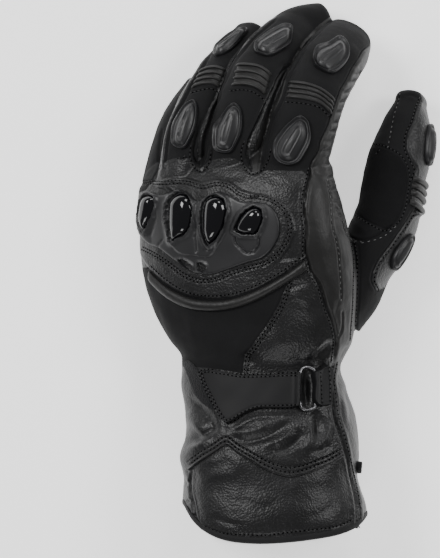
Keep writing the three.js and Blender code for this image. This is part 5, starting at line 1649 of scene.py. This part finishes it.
# %% The chevron band
CHEVRON_FOOT = CHEVRON_LINE + np.array([0.0, -4.9])
CHEVRON_TOP = CHEVRON_LINE + np.array([0.0, 1.1])
flat, triangles, s, t = band_mesh(CHEVRON_FOOT, CHEVRON_TOP, 170, 30)
height = 0.55 + 0.9 * np.exp(-(((t - 0.13) / 0.085) ** 2))  # a piped ridge along the foot
for row in (0.45, 0.82):
    height -= 0.3 * np.exp(-(((t - row) / 0.07) ** 2))  # the stitched channels
height *= np.clip(np.minimum(t, 1 - t) / 0.05, 0.1, 1)
pieces["cuff_chevron"] = solid_over("cuff_chevron_look", flat, triangles, height, [LEATHER], drape_plan,
                                    even=3)
print("roll and chevron")

# %% [markdown]
# ## Strap, loop and tab
# The strap crosses the wrist, folds through a metal loop, and a short tab holds the loop to the
# side. Fuzzy cloth lies under the strap's free end. At the cuff's right side the end of a small
# closure stands out, so that piece is drawn as seen from the right and draped from there.

# %% Strap and tab
STRAP = np.array([(-12, -44.5), (-9, -43.5), (1, -44.5), (10.5, -46), (19, -46), (29.5, -45.5),
    (36, -45.25), (40, -44.75), (41.5, -46.5), (41.75, -54.5), (41.75, -62), (40.75, -65), (37, -65.75),
    (27, -66), (18, -66.5), (12.5, -69), (7, -72.5), (3, -74), (0, -71), (-3, -66), (-6, -60), (-10, -52)])
TAB = np.array([(44.75, -45), (48.5, -43.25), (54.5, -41.25), (56, -42.5), (56.5, -53), (57, -60.5),
    (56, -64.5), (52, -65), (47, -64.75), (45, -62), (45, -53)])
HOOK_PATCH = np.array([(-19.5, -41), (-17.5, -39), (-14, -40.5), (-10.5, -44.5), (-7, -52.5), (-3.5, -59.5),
    (-0.5, -66.5), (-3.5, -67), (-7.5, -65.5), (-12, -61.5), (-15, -56.5), (-17.5, -50.5)])
NO_FOLD = 999.0
BANDS = [  # name, outline, thickness, finish, waves, where it folds over the loop's bar, in mm
    ("wrist_strap", STRAP, 3.1, STRAP_CLOTH, 0.2, 39.2),
    ("strap_tab", TAB, 3.3, STRAP_CLOTH, 0.1, 47.2),
    ("hook_patch", HOOK_PATCH, 1.0, HOOK_CLOTH, 0.2, NO_FOLD),
]
for name, outline, thick, finish_of, wave, fold_at in BANDS:
    flat, triangles, edge = flat_mesh(outline, FINE * 1.2)
    channels = np.exp(-(((edge - 1.2) / 0.4) ** 2)) + np.exp(-(((edge - 2.5) / 0.4) ** 2))
    fold = 2.3 * np.exp(-(((flat[:, 0] - fold_at) / 1.9) ** 2))
    height = domed(edge, 1.0, thick) * (1 + fold / thick) - 0.22 * channels * (thick > 1) * (fold < 0.3)
    height += wave * unevenness(np.column_stack([flat, np.zeros(len(flat))]), 14, 5)
    pieces[name] = solid_over(name + "_look", flat, triangles, height, [finish_of], drape_plan, even=30,
                              rise=1.0)


def ring_faces(count, sides):
    """Faces between rings of points that follow each other round a closed path."""
    found = []
    for r in range(count):
        after = (r + 1) % count
        for i in range(sides):
            j = (i + 1) % sides
            found.append((r * sides + i, r * sides + j, after * sides + j, after * sides + i))
    return found


def tube_along(name, path, radius, materials, sides=10):
    """A closed ring of round wire along a closed path in space."""
    ahead = np.roll(path, -1, axis=0) - np.roll(path, 1, axis=0)
    ahead /= np.linalg.norm(ahead, axis=1)[:, None]
    out = np.cross(ahead, [0, 0, 1.0])
    out /= np.linalg.norm(out, axis=1)[:, None]
    above = np.cross(out, ahead)
    angles = np.arange(sides) / sides * 2 * math.pi
    ring = np.cos(angles)[None, :, None] * out[:, None] + np.sin(angles)[None, :, None] * above[:, None]
    points = path[:, None] + radius * ring
    faces = ring_faces(len(path), sides)
    return finished(add_piece(name, points.reshape(-1, 3), faces, materials))


LOOP_PATH = closed_curve([(40, -47.5), (40.75, -45.25), (42.5, -44.15), (44.75, -44.15), (46.75, -45.25),
                          (47.5, -47.5), (47.65, -55), (47.8, -62), (47, -64.25), (44.75, -65.4), (42.5,
                              -65.4), (40.75, -64.4), (40, -62), (40, -55)], 0.6)
spots, normals = drape_plan(LOOP_PATH, raised_tree(1.0))
flat_fit = np.column_stack([spots[:, :2], np.ones(len(spots))])
spots[:, 2] = flat_fit @ np.linalg.lstsq(flat_fit, spots[:, 2], rcond=None)[0] + 0.5  # a flat loop
WIRE_RADIUS = 0.85
pieces["strap_loop"] = tube_along("strap_loop_look", spots, WIRE_RADIUS, [DARK_METAL])

# %% The closure's end
flat, triangles, edge = flat_mesh([(-97.5, 33), (-96, 38), (-92, 40.5), (-90.5, 39), (-91.5, 33)], FINE)
pieces["closure_end"] = solid_over("closure_end_look", flat, triangles, domed(edge, 1.2, 1.8), [HOOK_CLOTH],
                                   drape_side)

# %% [markdown]
# ## The bound hem
# A tape is folded over the cuff's cut edge and sewn down. Its cross-section is swept along the
# edge's own loop, so that the hem fits the edge wherever it runs.

# %% The bound hem
HEM_PROFILE = [  # out from the leather and up the cuff, in mm
    (0.1, 2.4), (0.5, 2.3), (0.7, 1.2), (0.6, 0.0), (0.2, -0.6), (-0.8, -0.9), (-1.7, -0.6), (-2.2, 0.0),
    (-2.3, 1.2), (-2.1, 2.3), (-1.8, 2.4), (-0.9, 2.1),
]
HEM_RINGS = 240
loop = skin_points[hem_loop]
loop = np.vstack([loop, loop[:1]])
loop_normals = skin_normals[hem_loop]
loop_normals = np.vstack([loop_normals, loop_normals[:1]])
reach = lengths_along(loop)
at = np.linspace(0, reach[-1], HEM_RINGS + 1)[:-1]
loop = evened(rows_at(at, reach, loop), 6)
loop_normals = evened(rows_at(at, reach, loop_normals), 6)
loop_normals[:, 1] = 0
loop_normals /= np.linalg.norm(loop_normals, axis=1)[:, None]
up_axis = np.array([0.0, 1.0, 0.0])
rings = [point + np.array([normal * out + up_axis * rise for out, rise in HEM_PROFILE])
         for point, normal in zip(loop, loop_normals)]
hem_points = np.concatenate(rings)
hem_points[:, 2] = np.maximum(hem_points[:, 2], 0.02)
faces = ring_faces(len(rings), len(HEM_PROFILE))
pieces["cuff_hem"] = finished(add_piece("cuff_hem_look", hem_points, faces, [HEM_TAPE]))
print(len(pieces), "pieces so far")

# %% [markdown]
# ## Stitches
# A machine stitch is a short thread that dips into the leather at both ends. Geometry Nodes place
# one small capsule per stitch along each row: the row becomes a curve, the curve becomes evenly
# spaced points, and every point gets a capsule turned along the row. Between the stitches, near-black
# capsules are painted shade where the needle holes are.

# %% Node tree for a stitched row
def stitch_tree(thread):
    tree = bpy.data.node_groups.new("stitched_row_" + thread.name, "GeometryNodeTree")
    face = tree.interface
    face.new_socket(name="Geometry", in_out="INPUT", socket_type="NodeSocketGeometry")
    for name, value in (("Spacing", 0.0021), ("Length", 0.0015), ("Thickness", 0.0005)):
        face.new_socket(name=name, in_out="INPUT", socket_type="NodeSocketFloat").default_value = value
    face.new_socket(name="Geometry", in_out="OUTPUT", socket_type="NodeSocketGeometry")
    nodes, wires = tree.nodes, tree.links
    start, end = nodes.new("NodeGroupInput"), nodes.new("NodeGroupOutput")
    curve = nodes.new("GeometryNodeMeshToCurve")
    spread = nodes.new("GeometryNodeCurveToPoints")
    spread.mode = "LENGTH"
    capsule = nodes.new("GeometryNodeMeshUVSphere")
    capsule.inputs["Segments"].default_value = 6
    capsule.inputs["Rings"].default_value = 4
    capsule.inputs["Radius"].default_value = 0.5
    size = nodes.new("ShaderNodeCombineXYZ")
    turn = nodes.new("FunctionNodeAlignRotationToVector")
    turn.axis = "Z"
    put = nodes.new("GeometryNodeInstanceOnPoints")
    real = nodes.new("GeometryNodeRealizeInstances")
    paint = nodes.new("GeometryNodeSetMaterial")
    paint.inputs["Material"].default_value = thread
    smooth = nodes.new("GeometryNodeSetShadeSmooth")
    wires.new(start.outputs["Geometry"], curve.inputs["Mesh"])
    wires.new(curve.outputs["Curve"], spread.inputs["Curve"])
    wires.new(start.outputs["Spacing"], spread.inputs["Length"])
    wires.new(start.outputs["Thickness"], size.inputs["X"])
    wires.new(start.outputs["Thickness"], size.inputs["Y"])
    wires.new(start.outputs["Length"], size.inputs["Z"])
    wires.new(spread.outputs["Tangent"], turn.inputs["Vector"])
    wires.new(spread.outputs["Points"], put.inputs["Points"])
    wires.new(capsule.outputs["Mesh"], put.inputs["Instance"])
    wires.new(turn.outputs["Rotation"], put.inputs["Rotation"])
    wires.new(size.outputs["Vector"], put.inputs["Scale"])
    wires.new(put.outputs["Instances"], real.inputs["Geometry"])
    wires.new(real.outputs["Geometry"], smooth.inputs["Geometry"])
    wires.new(smooth.outputs["Geometry"], paint.inputs["Geometry"])
    wires.new(paint.outputs["Geometry"], end.inputs["Geometry"])
    return tree


def between_stitches(row, spacing):
    """The part of a row half a stitch further in at each end, for the needle holes' painted shade."""
    reach = lengths_along(row)
    half_step = reach[-1] / max(1, int(reach[-1] / spacing)) / 2
    at = np.linspace(half_step, reach[-1] - half_step, len(row))
    return rows_at(at, reach, row)


def stitched(name, rows, thread, spacing, length, thickness):
    """One mesh with the stitches of many rows; each row is a line of points in millimetres."""
    points, edges = [], []
    for row in rows:
        edges += [(len(points) + i, len(points) + i + 1) for i in range(len(row) - 1)]
        points += [tuple(p / 1000) for p in row]
    mesh = bpy.data.meshes.new(name + "_rows")
    mesh.from_pydata(points, edges, [])
    holder = new_object(name + "_rows", mesh)
    nodes = holder.modifiers.new("stitches", "NODES")
    nodes.node_group = stitch_tree(thread)
    sockets = input_names(nodes.node_group)
    nodes[sockets["Spacing"]] = spacing / 1000
    nodes[sockets["Length"]] = length / 1000
    nodes[sockets["Thickness"]] = thickness / 1000
    return new_object(name, plain_mesh(holder, name))


# %% Rows laid on the glove and the thread along them
def tree_on(name):
    """The finished piece, in millimetres, to lay a row on."""
    mesh = pieces[name].data
    return BVHTree.FromPolygons([tuple(p) for p in mesh_points(mesh) * 1000],
                                [tuple(f.vertices) for f in mesh.polygons])


def laid(line, tree):
    """A row of thread just above what it is sewn to."""
    spots, normals = drape_plan(line, tree)
    spots[1:-1] = (spots[:-2] + spots[1:-1] * 2 + spots[2:]) / 4
    return spots + normals * 0.12


STRAP_EDGE = np.array([(38.5, -45.75), (29.5, -46), (19, -46.5), (10.5, -46.5), (1, -45), (-8.5, -44.25),
    (-11.25, -45.25), (-10, -52), (-6, -60), (-3, -66), (0, -70.75), (3.25, -73.25), (7, -72),
    (12.5, -68.75), (18, -66.5), (27, -65.75), (38.5, -65.5)])
CHEVRON_ROWS = (0.0, -2.2)  # mm from the chevron's line
TAB_ROWS = ([(50, -43.5), (50.5, -53), (51, -63.5)], [(54.5, -43), (55, -53), (55, -63)])
rows = [laid(beside(line, offset), skin_tree) for line, offsets in DARK_ROWS for offset in offsets
        if line is not PATCH_LINE]
rows += [laid(curve_line(CHEVRON_LINE + np.array([0.0, lower]), 0.6), tree_on("cuff_chevron"))
         for lower in CHEVRON_ROWS]
rows += [laid(beside(PATCH_LINE, 1.3), tree_on("knuckle_panel"))]
rows += [laid(beside(STRAP_EDGE, offset), tree_on("wrist_strap")) for offset in (1.2, 2.5)]
rows += [laid(curve_line(line, 0.6), tree_on("strap_tab")) for line in TAB_ROWS]
# The pale stitches carry the painted highlight of these few seams.
pale_rows = [laid(beside(line, offset), skin_tree) for line, offsets in PALE_ROWS for offset in offsets]
STITCH_SPACING = 2.1
# The holes are not cut. A near-black capsule between two stitches is painted shade where each hole is.
hole_shade_rows = [between_stitches(row, STITCH_SPACING) for row in rows]
stitch_objects = [
    stitched("dark_stitches", rows, THREAD, spacing=STITCH_SPACING, length=1.3, thickness=0.5),
    stitched("pale_stitches", pale_rows, PALE_THREAD, spacing=2.8, length=1.3, thickness=0.35),
    stitched("painted_hole_shades", hole_shade_rows, HOLE_SHADE, spacing=STITCH_SPACING, length=0.8, thickness=0.75),
]
print("stitches:", [len(obj.data.polygons) // 24 for obj in stitch_objects])

# %% [markdown]
# ## Every piece joins its CAD node
# Each finished piece rides with the part's one body and stands for the CAD node of its name, which is
# hidden. SLOTS lists the pieces by the name of their finish.

# %% Ride and replace, listed by finish
SLOTS = {
    "leather": [
        "index_finger", "middle_finger", "ring_finger", "little_finger", "thumb", "knuckle_panel",
        "side_panel", "wrist_panel", "hand_palm", "cuff_back", "cuff_gauntlet", "cuff_side", "cuff_palm",
        "knuckle_roll", "cuff_chevron",
    ],
    "softshell": ["softshell_panel"],
    "stretch_ribs": ["index_ribs", "middle_ribs", "ring_ribs", "thumb_ribs"],
    "moulding": ["knuckle_guard", *PADS, *THUMB_PADS],
    "gloss_shell": [f"knuckle_dome_{number}" for number in range(1, 5)],
    "suede": ["thumb_patch"],
    "webbing": ["wrist_strap", "strap_tab", "cuff_hem"],
    "hook_fabric": ["hook_patch", "closure_end"],
    "dark_metal": ["strap_loop"],
}
for slot, names in SLOTS.items():
    for name in names:
        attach(pieces[name], "root")
        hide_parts(name)
for obj in stitch_objects:
    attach(obj, "root")
print(len(pieces), "pieces ride with the glove")
